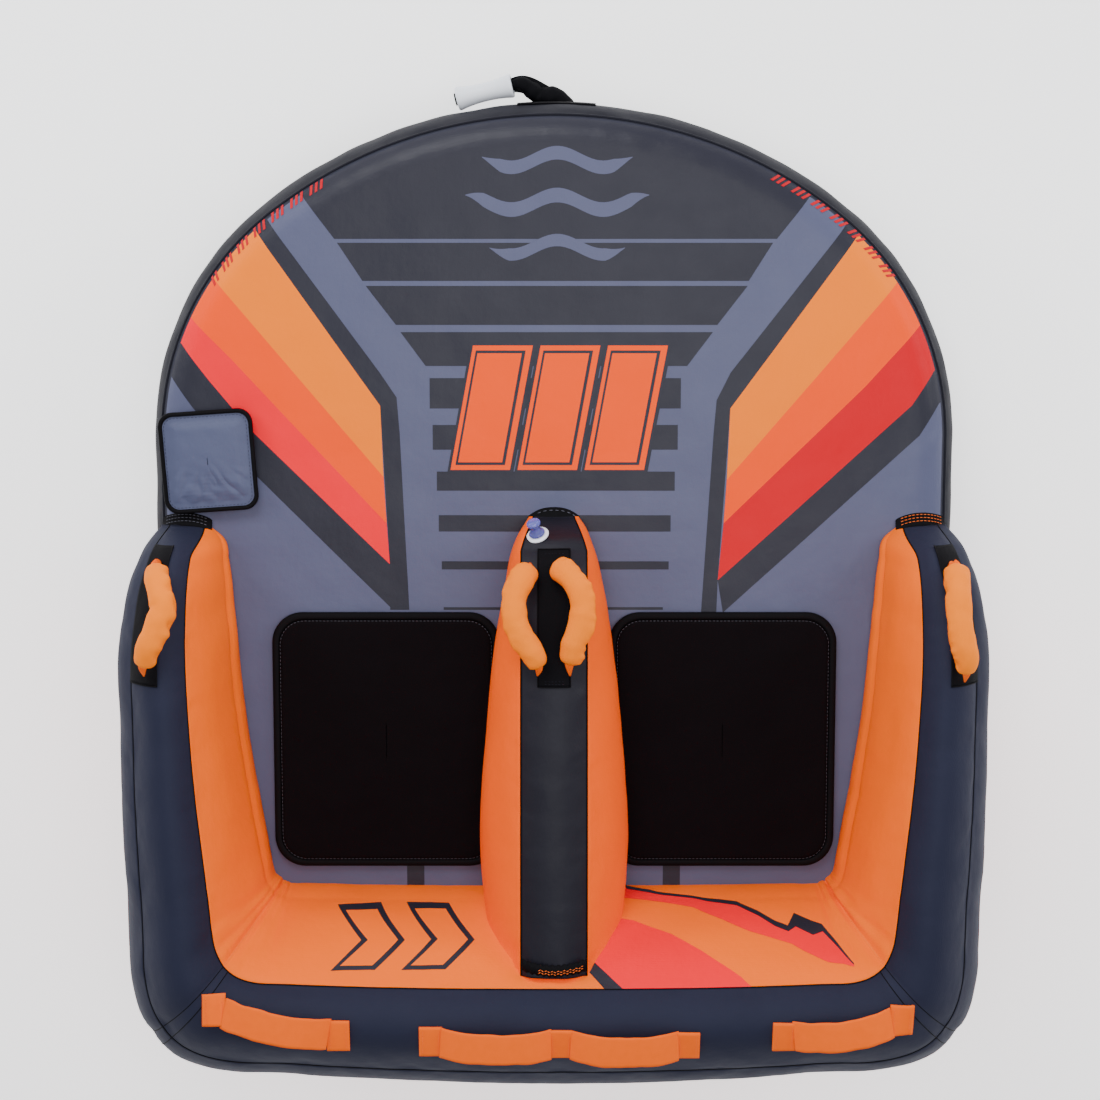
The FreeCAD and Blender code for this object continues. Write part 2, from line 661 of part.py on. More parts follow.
# ---------------------------------------------------------------- tow loop
def make_tow():
    patch = deck_layer((-70, 790, 78), (80, 900, 158), 2.2)
    export("tow_patch", only_solid(patch))
    root = V(26, 876, 130)
    right = V(-76, 892, 126)
    left = V(-177, 868, 118)
    axis = (left - right).normalize()
    centre = (left + right) * 0.5
    half = SLEEVE_LENGTH / 2
    profile = [V(SLEEVE_BORE, 0, -half), V(SLEEVE_RADIUS - 3, 0, -half), V(SLEEVE_RADIUS, 0, -half + 5)]
    outline = Part.Wire([
        Part.makeLine(profile[0], profile[1]),
        Part.makeLine(profile[1], profile[2]),
        Part.Arc(profile[2], V(SLEEVE_WAIST, 0, 0), V(SLEEVE_RADIUS, 0, half - 5)).toShape(),
        Part.makeLine(V(SLEEVE_RADIUS, 0, half - 5), V(SLEEVE_RADIUS - 3, 0, half)),
        Part.makeLine(V(SLEEVE_RADIUS - 3, 0, half), V(SLEEVE_BORE, 0, half)),
        Part.makeLine(V(SLEEVE_BORE, 0, half), profile[0]),
    ])
    sleeve = Part.Face(outline).revolve(V(0, 0, 0), V(0, 0, 1), 360)
    export("tow_sleeve", placed(sleeve, tuple(centre), tuple(axis)))
    below = V(0, 0, -SLEEVE_RADIUS - 6)
    path = [
        root,
        root + V(-30, 9, 0),
        right - axis * 14,
        right + axis * 8,
        centre,
        left - axis * 2,
        left + axis * 14 + V(0, 0, -3),
        left + axis * 22 + below * 0.5,
        left + axis * 12 + below,
        left - axis * 6 + below * 1.1,
        centre + below * 1.1,
        right + below * 1.1,
        root + V(-26, 6, 0) + below * 1.1,
        root + below * 1.1,
    ]
    level = V(-axis.y, axis.x, 0)
    export("tow_strap", ribbon(path, [level] * len(path), [22.0] * len(path), 2.6))


# ---------------------------------------------------------------- zipper for the bladders
def make_zipper():
    rear = DECK_REAR_Y - CLEAR
    z = ZIP_HEIGHT
    tape = box_between((-ZIP_HALF_LENGTH - 8, rear - 1.4, z - 15), (ZIP_HALF_LENGTH + 8, rear - 0.2, z + 15))
    teeth = box_between((-ZIP_HALF_LENGTH, rear - 4.2, z - 3), (ZIP_HALF_LENGTH, rear - 1.4, z + 3))
    stops = [box_between((x - 2, rear - 5, z - 4), (x + 2, rear - 1.4, z + 4)) for x in (-498, 498)]
    export("zipper_tape", fuse_all([tape, teeth] + stops))
    x = -ZIP_HALF_LENGTH + 22
    block = box_between((x - 9, rear - 7.5, z - 6.5), (x + 9, rear - 1.8, z + 6.5))
    channel = box_between((x - 20, rear - 4.7, z - 3.6), (x + 20, rear, z + 3.6))
    eye = box_between((x - 3, rear - 13, z - 5), (x + 3, rear - 7, z - 2))
    export("zipper_slider", block.cut(channel).fuse(eye).removeSplitter())
    pull = box_between((x - 5, rear - 12.2, z - 44), (x + 5, rear - 10.6, z - 6.5))
    ring = box_between((x - 7, rear - 12.2, z - 10), (x + 7, rear - 10.6, z + 0.8))
    gap = box_between((x - 3.8, rear - 14, z - 6.5), (x + 3.8, rear, z - 0.5))
    export("zipper_pull", pull.fuse(ring).cut(gap).removeSplitter())


# ---------------------------------------------------------------- build
make_deck()
for arm_side in (-1, 1):
    make_arm(arm_side)
    make_seat_pad(arm_side)
make_backrest()
make_divider()
make_hems()
make_divider_valve()
make_deck_valve()
make_valve_flap()
for handle in PADDED_HANDLES:
    make_padded_handle(handle)
make_patches()
make_rear_handles()
make_tow()
make_zipper()

for node in ("deck_top_panel", "deck_bladder"):
    parts[node] = parts[node].cut(deck_valve_bore())

os.makedirs("parts", exist_ok=True)
for node, shape in parts.items():
    shape.exportStep("parts/" + node + ".step")
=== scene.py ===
import math

import bmesh
import bpy
import numpy as np
from mathutils import Matrix, Vector
from mathutils.bvhtree import BVHTree
from mathutils.geometry import tessellate_polygon


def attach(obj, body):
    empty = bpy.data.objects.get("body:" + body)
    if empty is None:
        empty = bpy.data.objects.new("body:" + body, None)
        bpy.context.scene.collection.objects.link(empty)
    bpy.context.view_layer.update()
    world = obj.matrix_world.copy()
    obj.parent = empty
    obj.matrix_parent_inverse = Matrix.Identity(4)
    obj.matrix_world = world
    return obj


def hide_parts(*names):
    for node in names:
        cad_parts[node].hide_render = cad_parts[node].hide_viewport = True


# The two-rider tube's soft parts, prints and finishes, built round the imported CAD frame.
# Points are in millimetres until mesh_object turns them into metres. +Z is up, +Y the tow direction.

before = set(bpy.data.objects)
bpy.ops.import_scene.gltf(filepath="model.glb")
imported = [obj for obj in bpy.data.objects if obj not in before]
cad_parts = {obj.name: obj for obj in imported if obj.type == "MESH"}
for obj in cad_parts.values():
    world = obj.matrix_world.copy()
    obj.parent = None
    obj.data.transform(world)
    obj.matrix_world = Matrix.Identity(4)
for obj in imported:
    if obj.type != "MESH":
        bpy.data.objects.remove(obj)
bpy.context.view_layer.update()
MM = 0.001

# ------------------------------------------------------------------ sizes, as in the CAD part
HALF_WIDTH, FRONT_Y, REAR_Y, DECK_Z = 740.0, 860.0, -860.0, 240.0
FRONT_R, SHOULDER_R, CORNER_R = 865.0, 540.0, 190.0
ROUNDING, FULLNESS, SEAM = 84.0, 0.85, 27.0
LEAN = math.asin((HALF_WIDTH - SHOULDER_R) / (FRONT_R - SHOULDER_R))
SHOULDER_Y = FRONT_Y - FRONT_R + (FRONT_R - SHOULDER_R) * math.cos(LEAN)
DIVIDER = np.array([
    (112, 44, 18), (100, 54, 92), (66, 70, 152), (0, 86, 192), (-160, 109, 228),
    (-350, 125, 256), (-450, 130, 268), (-560, 125, 276), (-720, 104, 284)], float)
ARM = np.array([
    (94, 628, 88, 22), (76, 606, 126, 105), (32, 595, 156, 178), (-60, 586, 184, 232),
    (-266, 567, 207, 282), (-532, 524, 245, 318), (-940, 470, 275, 330)], float)
REAR = np.array([(-860, 560, 285), (-400, 578, 312), (0, 580, 323), (400, 578, 312), (860, 560, 285)], float)
MITRE_CORNER = np.array((-511.0, -577.0))    # where the inner faces of an arm and the backrest meet
MITRE_FILLET = 28.0
OUTER_CORNER, OUTER_R = np.array((762.0, 878.0)), 142.0
COVER = 0.8                                  # thickness of the coated nylon


# ------------------------------------------------------------------ small maths
def smooth(x, low, high):
    t = np.clip((np.asarray(x, float) - low) / (high - low), 0, 1)
    return t * t * (3 - 2 * t)


def spline(keys, values, at):
    """Smooth interpolation through keys (rising), one column per value."""
    keys, values = np.asarray(keys, float), np.asarray(values, float)
    if values.ndim == 1:
        values = values[:, None]
    slopes = np.gradient(values, keys, axis=0)
    at = np.clip(np.asarray(at, float), keys[0], keys[-1])
    i = np.clip(np.searchsorted(keys, at) - 1, 0, len(keys) - 2)
    h = (keys[i + 1] - keys[i])[:, None]
    t = ((at - keys[i]) / h[:, 0])[:, None]
    a, b, ma, mb = values[i], values[i + 1], slopes[i] * h, slopes[i + 1] * h
    return ((2 * t**3 - 3 * t**2 + 1) * a + (t**3 - 2 * t**2 + t) * ma
            + (3 * t**2 - 2 * t**3) * b + (t**3 - t**2) * mb)


def unit(vectors):
    """The same vectors, of length 1."""
    return vectors / np.linalg.norm(vectors, axis=-1, keepdims=True)


def distances(points):
    """How far along a line of points each point is."""
    return np.concatenate([[0], np.cumsum(np.linalg.norm(np.diff(points, axis=0), axis=1))])


def distances_across(grid):
    """How far along its row each point of a grid is."""
    steps = np.linalg.norm(np.diff(grid, axis=1), axis=2)
    return np.concatenate([np.zeros((len(grid), 1)), np.cumsum(steps, axis=1)], axis=1)


def wave(x, y, scale, seed, octaves=3):
    """Smooth value noise, about -1 to 1, at a scale in millimetres: sums of turned sine fields."""
    x, y = np.asarray(x, float) / scale, np.asarray(y, float) / scale
    r = np.random.default_rng(seed)
    total, weight = np.zeros(np.broadcast(x, y).shape), 0.0
    for octave in range(octaves):
        size, gain = 2.0**octave, 0.5**octave
        for _ in range(5):
            a, p, q = r.uniform(0, 2 * math.pi, 3)
            k = size * r.uniform(0.7, 1.35) * 2 * math.pi
            bend = 0.35 * np.sin(k * 0.5 * (x * math.cos(q) + y * math.sin(q)) + p)
            total = total + gain * np.sin(k * (x * math.cos(a) + y * math.sin(a)) + p + bend)
        weight += gain
    return total / (weight * 2.6)


def puckers(along, away, seed, reach=34.0, pitch=26.0):
    """Small tucks that run off a seam: along it in millimetres, fading with the distance away from it."""
    w = wave(along, 0 * np.asarray(along), pitch * 2.2, seed, 2)
    w2 = wave(along, np.asarray(away) * 0.5, pitch * 1.1, seed + 1, 2)
    fade = np.exp(-np.abs(away) / reach)
    return (0.7 * w + 0.5 * w2) * fade


# ------------------------------------------------------------------ mesh helpers
def mesh_object(name, verts, faces, material=None, smooth_faces=True, body="tube"):
    mesh = bpy.data.meshes.new(name)
    mesh.from_pydata([tuple(float(c) * MM for c in v) for v in verts], [],
        [tuple(int(i) for i in f) for f in faces])
    mesh.update()
    if smooth_faces:
        mesh.polygons.foreach_set("use_smooth", [True] * len(mesh.polygons))
    obj = bpy.data.objects.new(name, mesh)
    bpy.context.scene.collection.objects.link(obj)
    if material is not None:
        mesh.materials.append(material)
    if body:
        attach(obj, body)
    return obj


def grid_faces(rows, cols, close=False):
    faces = []
    last = cols if close else cols - 1
    for i in range(rows - 1):
        for j in range(last):
            k = (j + 1) % cols
            faces.append((i * cols + j, i * cols + k, (i + 1) * cols + k, (i + 1) * cols + j))
    return faces


def grid_object(name, points, material, close=False, body="tube"):
    """A mesh through points, which is (rows, cols, 3) in millimetres."""
    faces = grid_faces(*points.shape[:2], close)
    return mesh_object(name, points.reshape(-1, 3), faces, material, body=body)


def normals_of(points):
    """Unit normals of a grid of points."""
    n = np.cross(np.gradient(points, axis=0), np.gradient(points, axis=1))
    length = np.linalg.norm(n, axis=2, keepdims=True)
    return n / np.maximum(length, 1e-9)


def thicken(obj, thick, offset=-1):
    m = obj.modifiers.new("thickness", "SOLIDIFY")
    m.thickness, m.offset = thick * MM, offset
    m.use_even_offset = False


def tube_points(path, radius, sides=12):
    """A round tube along a path of points; radius is one number or one per point."""
    path = np.asarray(path, float)
    radius = np.broadcast_to(np.asarray(radius, float), (len(path),))
    tangent = unit(np.gradient(path, axis=0))
    up = np.array((0.0, 0.0, 1.0))
    if abs(tangent[0] @ up) > 0.9:
        up = np.array((1.0, 0.0, 0.0))
    out = []
    for p, t, r in zip(path, tangent, radius):
        side = unit(np.cross(t, up))
        up = np.cross(side, t)
        a = np.linspace(0, 2 * math.pi, sides, endpoint=False)
        out.append(p + r * (np.cos(a)[:, None] * side + np.sin(a)[:, None] * up))
    return np.array(out)


def tube_object(name, path, radius, material, sides=12, closed=False):
    rings = tube_points(path, radius, sides)
    verts = rings.reshape(-1, 3)
    rows = len(rings)
    faces = grid_faces(rows, sides, True)
    if closed:
        faces += [((rows - 1) * sides + j, (rows - 1) * sides + (j + 1) % sides, (j + 1) % sides, j)
            for j in range(sides)]
    else:
        faces += [tuple(range(sides))[::-1], tuple((rows - 1) * sides + j for j in range(sides))]
    return mesh_object(name, verts, faces, material)


# ------------------------------------------------------------------ deck surface
def outline(inset):
    """Points round the deck's plan outline, inset from its widest line, with their way along it."""
    front_y, lean = FRONT_Y - FRONT_R, math.degrees(LEAN)
    side = HALF_WIDTH - inset
    sx, cx, cy = HALF_WIDTH - SHOULDER_R, HALF_WIDTH - CORNER_R, REAR_Y + CORNER_R

    def arc(centre, radius, low, high, count):
        a = np.radians(np.linspace(low, high, count, endpoint=False))
        return np.stack([centre[0] + radius * np.cos(a), centre[1] + radius * np.sin(a)], axis=1)

    def line(a, b, count):
        t = np.linspace(0, 1, count, endpoint=False)[:, None]
        return np.array(a) * (1 - t) + np.array(b) * t
    rear = REAR_Y + inset
    corner = CORNER_R - inset
    return np.concatenate([
        arc((sx, SHOULDER_Y), SHOULDER_R - inset, 0, 90 - lean, 56),
        arc((0, front_y), FRONT_R - inset, 90 - lean, 90 + lean, 120),
        arc((-sx, SHOULDER_Y), SHOULDER_R - inset, 90 + lean, 180, 56),
        line((-side, SHOULDER_Y), (-side, cy), 70),
        arc((-cx, cy), corner, 180, 270, 26),
        line((-cx, rear), (cx, rear), 80),
        arc((cx, cy), corner, 270, 360, 26),
        line((side, cy), (side, SHOULDER_Y), 70)])


def edge_distance(x, y):
    """How far inside the deck's widest line a point is, in plan."""
    ax, fy = np.abs(x), FRONT_Y - FRONT_R
    d = np.minimum(HALF_WIDTH - ax, y - REAR_Y)
    cx, cy = HALF_WIDTH - CORNER_R, REAR_Y + CORNER_R
    d = np.where((ax > cx) & (y < cy), CORNER_R - np.hypot(ax - cx, y - cy), d)
    sx = HALF_WIDTH - SHOULDER_R
    shoulder = SHOULDER_R - np.hypot(ax - sx, y - SHOULDER_Y)
    front = FRONT_R - np.hypot(ax, y - fy)
    on_shoulder = (ax > sx) & (np.arctan2(ax - sx, y - SHOULDER_Y) > LEAN)
    return np.where(y > SHOULDER_Y, np.minimum(d, np.where(on_shoulder, shoulder, front)), d)


def deck_top(x, y):
    """Height of the deck's upper cover: rounded at the edge, slightly crowned, with waves and seam tucks."""
    x, y = np.asarray(x, float), np.asarray(y, float)
    d = np.clip(edge_distance(x, y), 0, 400)
    c = np.clip(1 - d / ROUNDING, 0, 1) ** (1 / FULLNESS)
    z = DECK_Z / 2 + DECK_Z / 2 * np.sqrt(1 - c * c) ** FULLNESS
    around = np.arctan2(x, y + 120.0) * 760.0
    z = z + 6.0 * smooth(d, 60, 330)
    z = z + 1.5 * puckers(around, d - SEAM, 11, reach=46, pitch=34) * smooth(d, 24, 40)
    return z + 1.1 * wave(x, y, 210, 12, 2) * smooth(d, 70, 160)


def side_ring(angle, extra=0.0):
    """One outline of the sidewall, at an angle round its bulge from -90 (bottom) to 90 (top)."""
    a = math.radians(angle)
    half = DECK_Z / 2
    rise = math.copysign(abs(math.sin(a)) ** FULLNESS, a)
    back = ROUNDING * (1 - math.cos(a) ** FULLNESS)
    ring = outline(back - extra)
    return np.concatenate([ring, np.full((len(ring), 1), half + half * rise)], axis=1)


SEAM_ANGLE = math.degrees(math.asin((1 - SEAM / (DECK_Z / 2)) ** (1 / FULLNESS)))
RIM_INSET, RIM_ROW = 31.0, 2                 # the plain rim outside the print, and its rows of facets


def on_deck(x, y, lift):
    """Points a little above the deck's upper cover."""
    return np.stack([x, y, deck_top(x, y) + lift], axis=1)


def deck_rings_top():
    rings = [side_ring(SEAM_ANGLE)[:, :2], outline(RIM_INSET * 0.95), outline(RIM_INSET)]
    for a in np.linspace(SEAM_ANGLE, 90, 12)[1:]:
        ring = side_ring(a)[:, :2]
        if edge_distance(*ring[0]) > RIM_INSET + 0.5:
            rings.append(ring)
    inner, centre = rings[-1], np.array((0.0, 60.0))
    for t in np.linspace(0, 1, 66)[1:]:
        rings.append(centre + (inner - centre) * max(1 - t, 0.002))
    xy = np.array(rings)
    return np.concatenate([xy, deck_top(xy[..., 0], xy[..., 1])[..., None]], axis=2)


# ------------------------------------------------------------------ bolster surface
def quad(a, b, c, t):
    """A curve through three points at t = 0, 0.5 and 1."""
    return a * (2 * t - 1) * (t - 1) + b * 4 * t * (1 - t) + c * t * (2 * t - 1)


def bolster_frames():
    """Stations round the U: the inner foot and the way out in plan, width, height, outer foot, fan weight."""
    rows = []
    xs, ys = ARM[:, 1:], -ARM[:, 0]
    for y in np.concatenate([np.linspace(97, 60, 12, endpoint=False), np.linspace(60, -551, 104)]):
        inner, width, height = spline(ys, xs, [-min(y, 94)])[0]
        height = height if y <= 94 else height * 0.25
        rows.append((-inner, y, -1.0, 0.0, width, height, 718.0 - inner, 0.0))
    inner = rows[-1][0]
    for share in np.linspace(0, 1, 40)[1:-1]:
        a = math.radians(180 + 90 * share)
        n = np.array((math.cos(a), math.sin(a)))
        p = MITRE_CORNER + n * MITRE_FILLET + MITRE_FILLET
        p = p + np.array((inner - MITRE_CORNER[0], 0.0)) * (1 - smooth(share, 0, 0.6))
        low, high = 150.0, 480.0
        for _ in range(30):
            mid = (low + high) / 2
            q = p + n * mid
            e = np.maximum(np.abs(q) - (OUTER_CORNER - OUTER_R), 0)
            inside = np.hypot(*e) < OUTER_R
            low, high = (mid, high) if inside else (low, mid)
        foot = low - 44.0
        height = 319 + 11 * float(smooth(share, 0, 1))
        rows.append((*p, *n, low, height, foot, math.sin(math.pi * share)))
    for x in np.linspace(-483, 0, 84):
        inner, width = spline(REAR[:, 0], REAR[:, 1:], [x])[0]
        rows.append((x, -inner, 0.0, -1.0, width, 330.0, 838.0 - inner, 0.0))
    rows = np.array(rows)
    for k in (4, 5, 6, 0, 1, 2, 3):          # ease everything into the corner fan
        kernel = np.ones(15) / 15
        padded_col = np.concatenate([rows[:1, k].repeat(7), rows[:, k], rows[-1:, k].repeat(7)])
        eased = np.convolve(padded_col, kernel, "valid")
        keep = smooth(np.arange(len(rows)), 60, 90) * (1 - smooth(np.arange(len(rows)), 190, 225))
        rows[:, k] = rows[:, k] * (1 - keep) + eased * keep
    rows[:, 2:4] = unit(rows[:, 2:4])
    mirror = rows[:-1][::-1].copy()
    mirror[:, 0] *= -1
    mirror[:, 2] *= -1
    return np.concatenate([rows, mirror])


FRAMES = bolster_frames()
RUN = distances(FRAMES[:, :2] + FRAMES[:, 2:4] * FRAMES[:, 4:5] * 0.5)
RUN_MID = RUN[-1] / 2
PARTS = {"inner": 44, "top": 56, "outer": 40}


def bolster_plain(part):
    """Undisplaced grid (stations, across) of one cover panel of the bolster."""
    t = np.linspace(0, 1, PARTS[part])[None, :, None]
    w, h, foot = FRAMES[:, 4], FRAMES[:, 5], np.minimum(FRAMES[:, 6], 0.93 * FRAMES[:, 4])
    zero = np.zeros_like(w)
    low_out = -28.0 * smooth(h, 20, 120)

    def at(a, u):
        return np.stack([a, u], axis=1)[:, None, :]
    point = 0.2 + 0.8 * np.sqrt(smooth(98 - FRAMES[:, 1], 0, 44))
    seam, shoulder = at(0.34 * w * point, 0.865 * h * point), at(0.83 * w, 0.80 * h)
    if part == "inner":
        curve = quad(at(zero, zero - 1), at(0.11 * w * point, 0.47 * h * point), seam, t)
    elif part == "top":
        curve = quad(seam, at(0.56 * w, 0.995 * h), shoulder, t)
    else:
        curve = quad(shoulder, at(w, 0.42 * h), at(foot, low_out), t)
    a, u = curve[..., 0], curve[..., 1]
    x = FRAMES[:, 0:1] + FRAMES[:, 2:3] * a
    y = FRAMES[:, 1:2] + FRAMES[:, 3:4] * a
    return np.stack([x, y, DECK_Z + u], axis=2)


def bolster_grid(part):
    """One panel with its inflated waves, seam tucks and corner folds."""
    points = bolster_plain(part)
    n = normals_of(points)
    run = np.broadcast_to(RUN[:, None], points.shape[:2])
    across = distances_across(points)
    length = across[:, -1:]
    fan = FRAMES[:, 7:8]
    size = smooth(FRAMES[:, 5:6], 20, 200)
    seed = {"inner": 20, "top": 30, "outer": 40}[part]
    push = 2.0 * wave(run, across, 230, seed, 2)
    near = {"inner": (0.9, 1.6), "top": (1.8, 1.8), "outer": (1.8, 1.0)}[part]
    push = push + near[0] * puckers(run, across, seed + 3, reach=30, pitch=30)
    push = push + near[1] * puckers(run + 60, length - across, seed + 5, reach=34, pitch=30)
    mitre = np.minimum(np.abs(RUN - (RUN_MID - MITRE_RUN)), np.abs(RUN - (RUN_MID + MITRE_RUN)))[:, None]
    tuck, reach, ridges, creases = (7.0, 13.0, 3.0, 2.2) if part == "inner" else (2.6, 6.0, 1.2, 0.9)
    push = push - tuck * np.exp(-(mitre / reach) ** 2)
    ridge = np.exp(-((mitre - 30) / 16.0) ** 2) + 0.6 * np.exp(-((mitre - 66) / 20.0) ** 2)
    folds = wave(run, across * 0.25, 62, seed + 9, 2)
    push = push + fan * ridges * ridge + (0.25 + fan) * creases * folds
    edge = smooth(across, 0, 16) * smooth(length - across, 0, 16) * 0.85 + 0.15
    if part == "inner":                      # the arms' faces are creased along a quarter of their height
        share = across / length
        on_arm = smooth(FRAMES[:, 1:2], -600, -520)
        crease = 6.0 * np.exp(-((share - 0.22) / 0.028) ** 2) - 3.0 * np.exp(-((share - 0.11) / 0.06) ** 2)
        push = push - on_arm * crease
    return points + n * FLIP * (push * edge * size)[..., None]


FLIP = -1.0                                  # the bolster's grids run so that their normals point inwards
MITRE_RUN = float(RUN_MID - RUN[np.argmax(FRAMES[:len(FRAMES) // 2, 7])])


# ------------------------------------------------------------------ divider surface
def divider_rows():
    ys = np.concatenate([np.linspace(116, 60, 22, endpoint=False), np.linspace(60, -672, 150)])
    keys = -DIVIDER[:, 0]
    rows = []
    for y in ys:
        half, height = spline(keys, DIVIDER[:, 1:], [-min(y, 112)])[0]
        if y > 112:
            height *= 0.3
        rows.append((y, half, height))
    return np.array(rows)


DROWS = divider_rows()
DPARTS = {"left": 40, "top": 36, "right": 40}


def divider_plain(part):
    y, w, h = DROWS[:, 0], DROWS[:, 1], DROWS[:, 2]
    band = np.minimum(58.0, 0.84 * w)
    t = np.linspace(0, 1, DPARTS[part])[None, :, None]

    def at(a, u):
        return np.stack([a, u], axis=1)[:, None, :]
    if part == "top":
        curve = quad(at(-band, 0.93 * h), at(0 * w, h), at(band, 0.93 * h), t)
    else:
        s = -1.0 if part == "left" else 1.0
        curve = quad(at(s * 0.70 * w, 0 * h - 1), at(s * 1.02 * w, 0.42 * h), at(s * band, 0.93 * h), t)
    a, u = curve[..., 0], curve[..., 1]
    return np.stack([a, np.broadcast_to(y[:, None], a.shape), DECK_Z + u], axis=2)


def divider_grid(part):
    points = divider_plain(part)
    n = normals_of(points)
    outward = (points - np.array((0, 0, DECK_Z + 60.0))) * np.array((1, 0, 1))
    n = n * np.sign(np.sum(n * outward, axis=2, keepdims=True))
    y = points[..., 1]
    across = distances_across(points)
    length = across[:, -1:]
    seed = {"left": 50, "top": 60, "right": 70}[part]
    push = 1.6 * wave(y, across, 190, seed, 2) + 1.5 * puckers(y, length - across, seed + 1, reach=32, pitch=30)
    push = push + 1.4 * puckers(y + 30, across, seed + 2, reach=26, pitch=28)
    push = push + (1 - smooth(y, -672, -600)) * 3.0 * wave(y, across, 70, seed + 4, 2)
    edge = smooth(across, 0, 14) * smooth(length - across, 0, 14) * 0.85 + 0.15
    return points + n * (push * edge * smooth(DROWS[:, 2:3], 20, 160))[..., None]


# ------------------------------------------------------------------ materials
def rgb(r, g, b):
    """sRGB bytes to linear."""
    out = []
    for c in (r, g, b):
        c /= 255.0
        out.append(c / 12.92 if c <= 0.04045 else ((c + 0.055) / 1.055) ** 2.4)
    return (*out, 1.0)


class Nodes:
    """A small helper for building shader trees."""

    def __init__(self, name):
        self.mat = bpy.data.materials.new(name)
        self.mat.use_nodes = True
        self.tree = self.mat.node_tree
        self.shader = self.tree.nodes["Principled BSDF"]

    def add(self, kind, **values):
        node = self.tree.nodes.new(kind)
        for key, value in values.items():
            if hasattr(node, key) and key not in node.inputs:
                setattr(node, key, value)
            else:
                node.inputs[key].default_value = value
        return node

    def link(self, a, b):
        self.tree.links.new(a, b)

    def put(self, name, value):
        if hasattr(value, "is_linked"):
            self.link(value, self.shader.inputs[name])
        else:
            self.shader.inputs[name].default_value = value

    def coords(self, scale=1.0, stretch=(1, 1, 1)):
        c = self.add("ShaderNodeTexCoord")
        m = self.add("ShaderNodeMapping")
        m.inputs["Scale"].default_value = tuple(scale * s for s in stretch)
        self.link(c.outputs["Object"], m.inputs["Vector"])
        return m.outputs["Vector"]

    def noise(self, scale, detail=3.0, rough=0.55, stretch=(1, 1, 1)):
        n = self.add("ShaderNodeTexNoise", Scale=scale, Detail=detail, Roughness=rough)
        self.link(self.coords(1.0, stretch), n.inputs["Vector"])
        return n.outputs["Fac"]

    def waves(self, scale, direction, distortion=0.0):
        n = self.add("ShaderNodeTexWave", Scale=scale, Distortion=distortion, bands_direction=direction)
        self.link(self.coords(), n.inputs["Vector"])
        return n.outputs["Fac"]

    def math(self, kind, a, b):
        n = self.add("ShaderNodeMath", operation=kind)
        for i, v in enumerate((a, b)):
            if isinstance(v, (int, float)):
                n.inputs[i].default_value = v
            else:
                self.link(v, n.inputs[i])
        return n.outputs[0]

    def spread(self, value, low, high):
        n = self.add("ShaderNodeMapRange")
        self.link(value, n.inputs["Value"])
        n.inputs["To Min"].default_value = low
        n.inputs["To Max"].default_value = high
        return n.outputs["Result"]

    def mix(self, fac, a, b):
        n = self.add("ShaderNodeMix", data_type="RGBA")
        self.link(fac, n.inputs[0])
        n.inputs[6].default_value = a
        n.inputs[7].default_value = b
        return n.outputs[2]

    def bump(self, layers):
        """layers: (height socket, strength, distance in metres), joined one on another."""
        last = None
        for height, strength, distance in layers:
            b = self.add("ShaderNodeBump", Strength=strength, Distance=distance)
            self.link(height, b.inputs["Height"])
            if last is not None:
                self.link(last, b.inputs["Normal"])
            last = b.outputs["Normal"]
        self.link(last, self.shader.inputs["Normal"])


def shade(colour, factor):
    return (*[min(1.0, c * factor) for c in colour[:3]], 1.0)


def cover_cloth(name, colour, rough=0.5, sheen=0.03, variation=0.12, weave=1.0, wrinkle=1.0, gloss=0.28):
    """Coated woven nylon: a fine plain weave, faint wrinkles, patchy colour and a soft sheen."""
    m = Nodes(name)
    patch = m.noise(7.0, 4.0, 0.6)
    fleck = m.noise(160.0, 2.0, 0.6)
    both = m.math("ADD", m.math("MULTIPLY", patch, 0.7), m.math("MULTIPLY", fleck, 0.3))
    both = m.spread(both, 0.0, 1.0)
    m.put("Base Color", m.mix(both, shade(colour, 1 - variation), shade(colour, 1 + variation)))
    m.put("Roughness", m.spread(m.noise(22.0, 3.0, 0.6), rough - 0.08, rough + 0.1))
    m.put("Specular IOR Level", gloss)
    m.put("Sheen Weight", sheen)
    m.put("Sheen Roughness", 0.4)
    m.put("Coat Weight", 0.0)
    m.put("Coat Roughness", 0.35)
    warp = m.math("MULTIPLY", m.waves(150.0, "X"), m.waves(150.0, "Y"))
    warp = m.math("ADD", warp, m.math("MULTIPLY", m.waves(150.0, "Z"), 0.6))
    fine = m.noise(26.0, 5.0, 0.62, (1.0, 0.8, 1.2))
    broad = m.noise(8.0, 3.0, 0.5)
    m.bump([(broad, 0.25 * wrinkle, 0.010), (fine, 0.35 * wrinkle, 0.003), (warp, 0.22 * weave, 0.0004)])
    return m.mat


def webbing_cloth(name, colour):
    """Woven strap: ribs across it and a coarse herringbone."""
    m = Nodes(name)
    rib = m.waves(220.0, "X", 0.4)
    rib2 = m.waves(260.0, "Y", 0.4)
    tone = m.math("ADD", m.math("MULTIPLY", rib, 0.35), m.math("MULTIPLY", m.noise(60.0), 0.65))
    tone = m.spread(tone, 0.0, 1.0)
    m.put("Base Color", m.mix(tone, shade(colour, 0.86), shade(colour, 1.1)))
    m.put("Roughness", 0.75)
    m.put("Specular IOR Level", 0.08)
    m.put("Sheen Weight", 0.0)
    m.bump([(m.noise(90.0, 3.0), 0.25, 0.0012), (m.math("MULTIPLY", rib, rib2), 0.35, 0.0005)])
    return m.mat


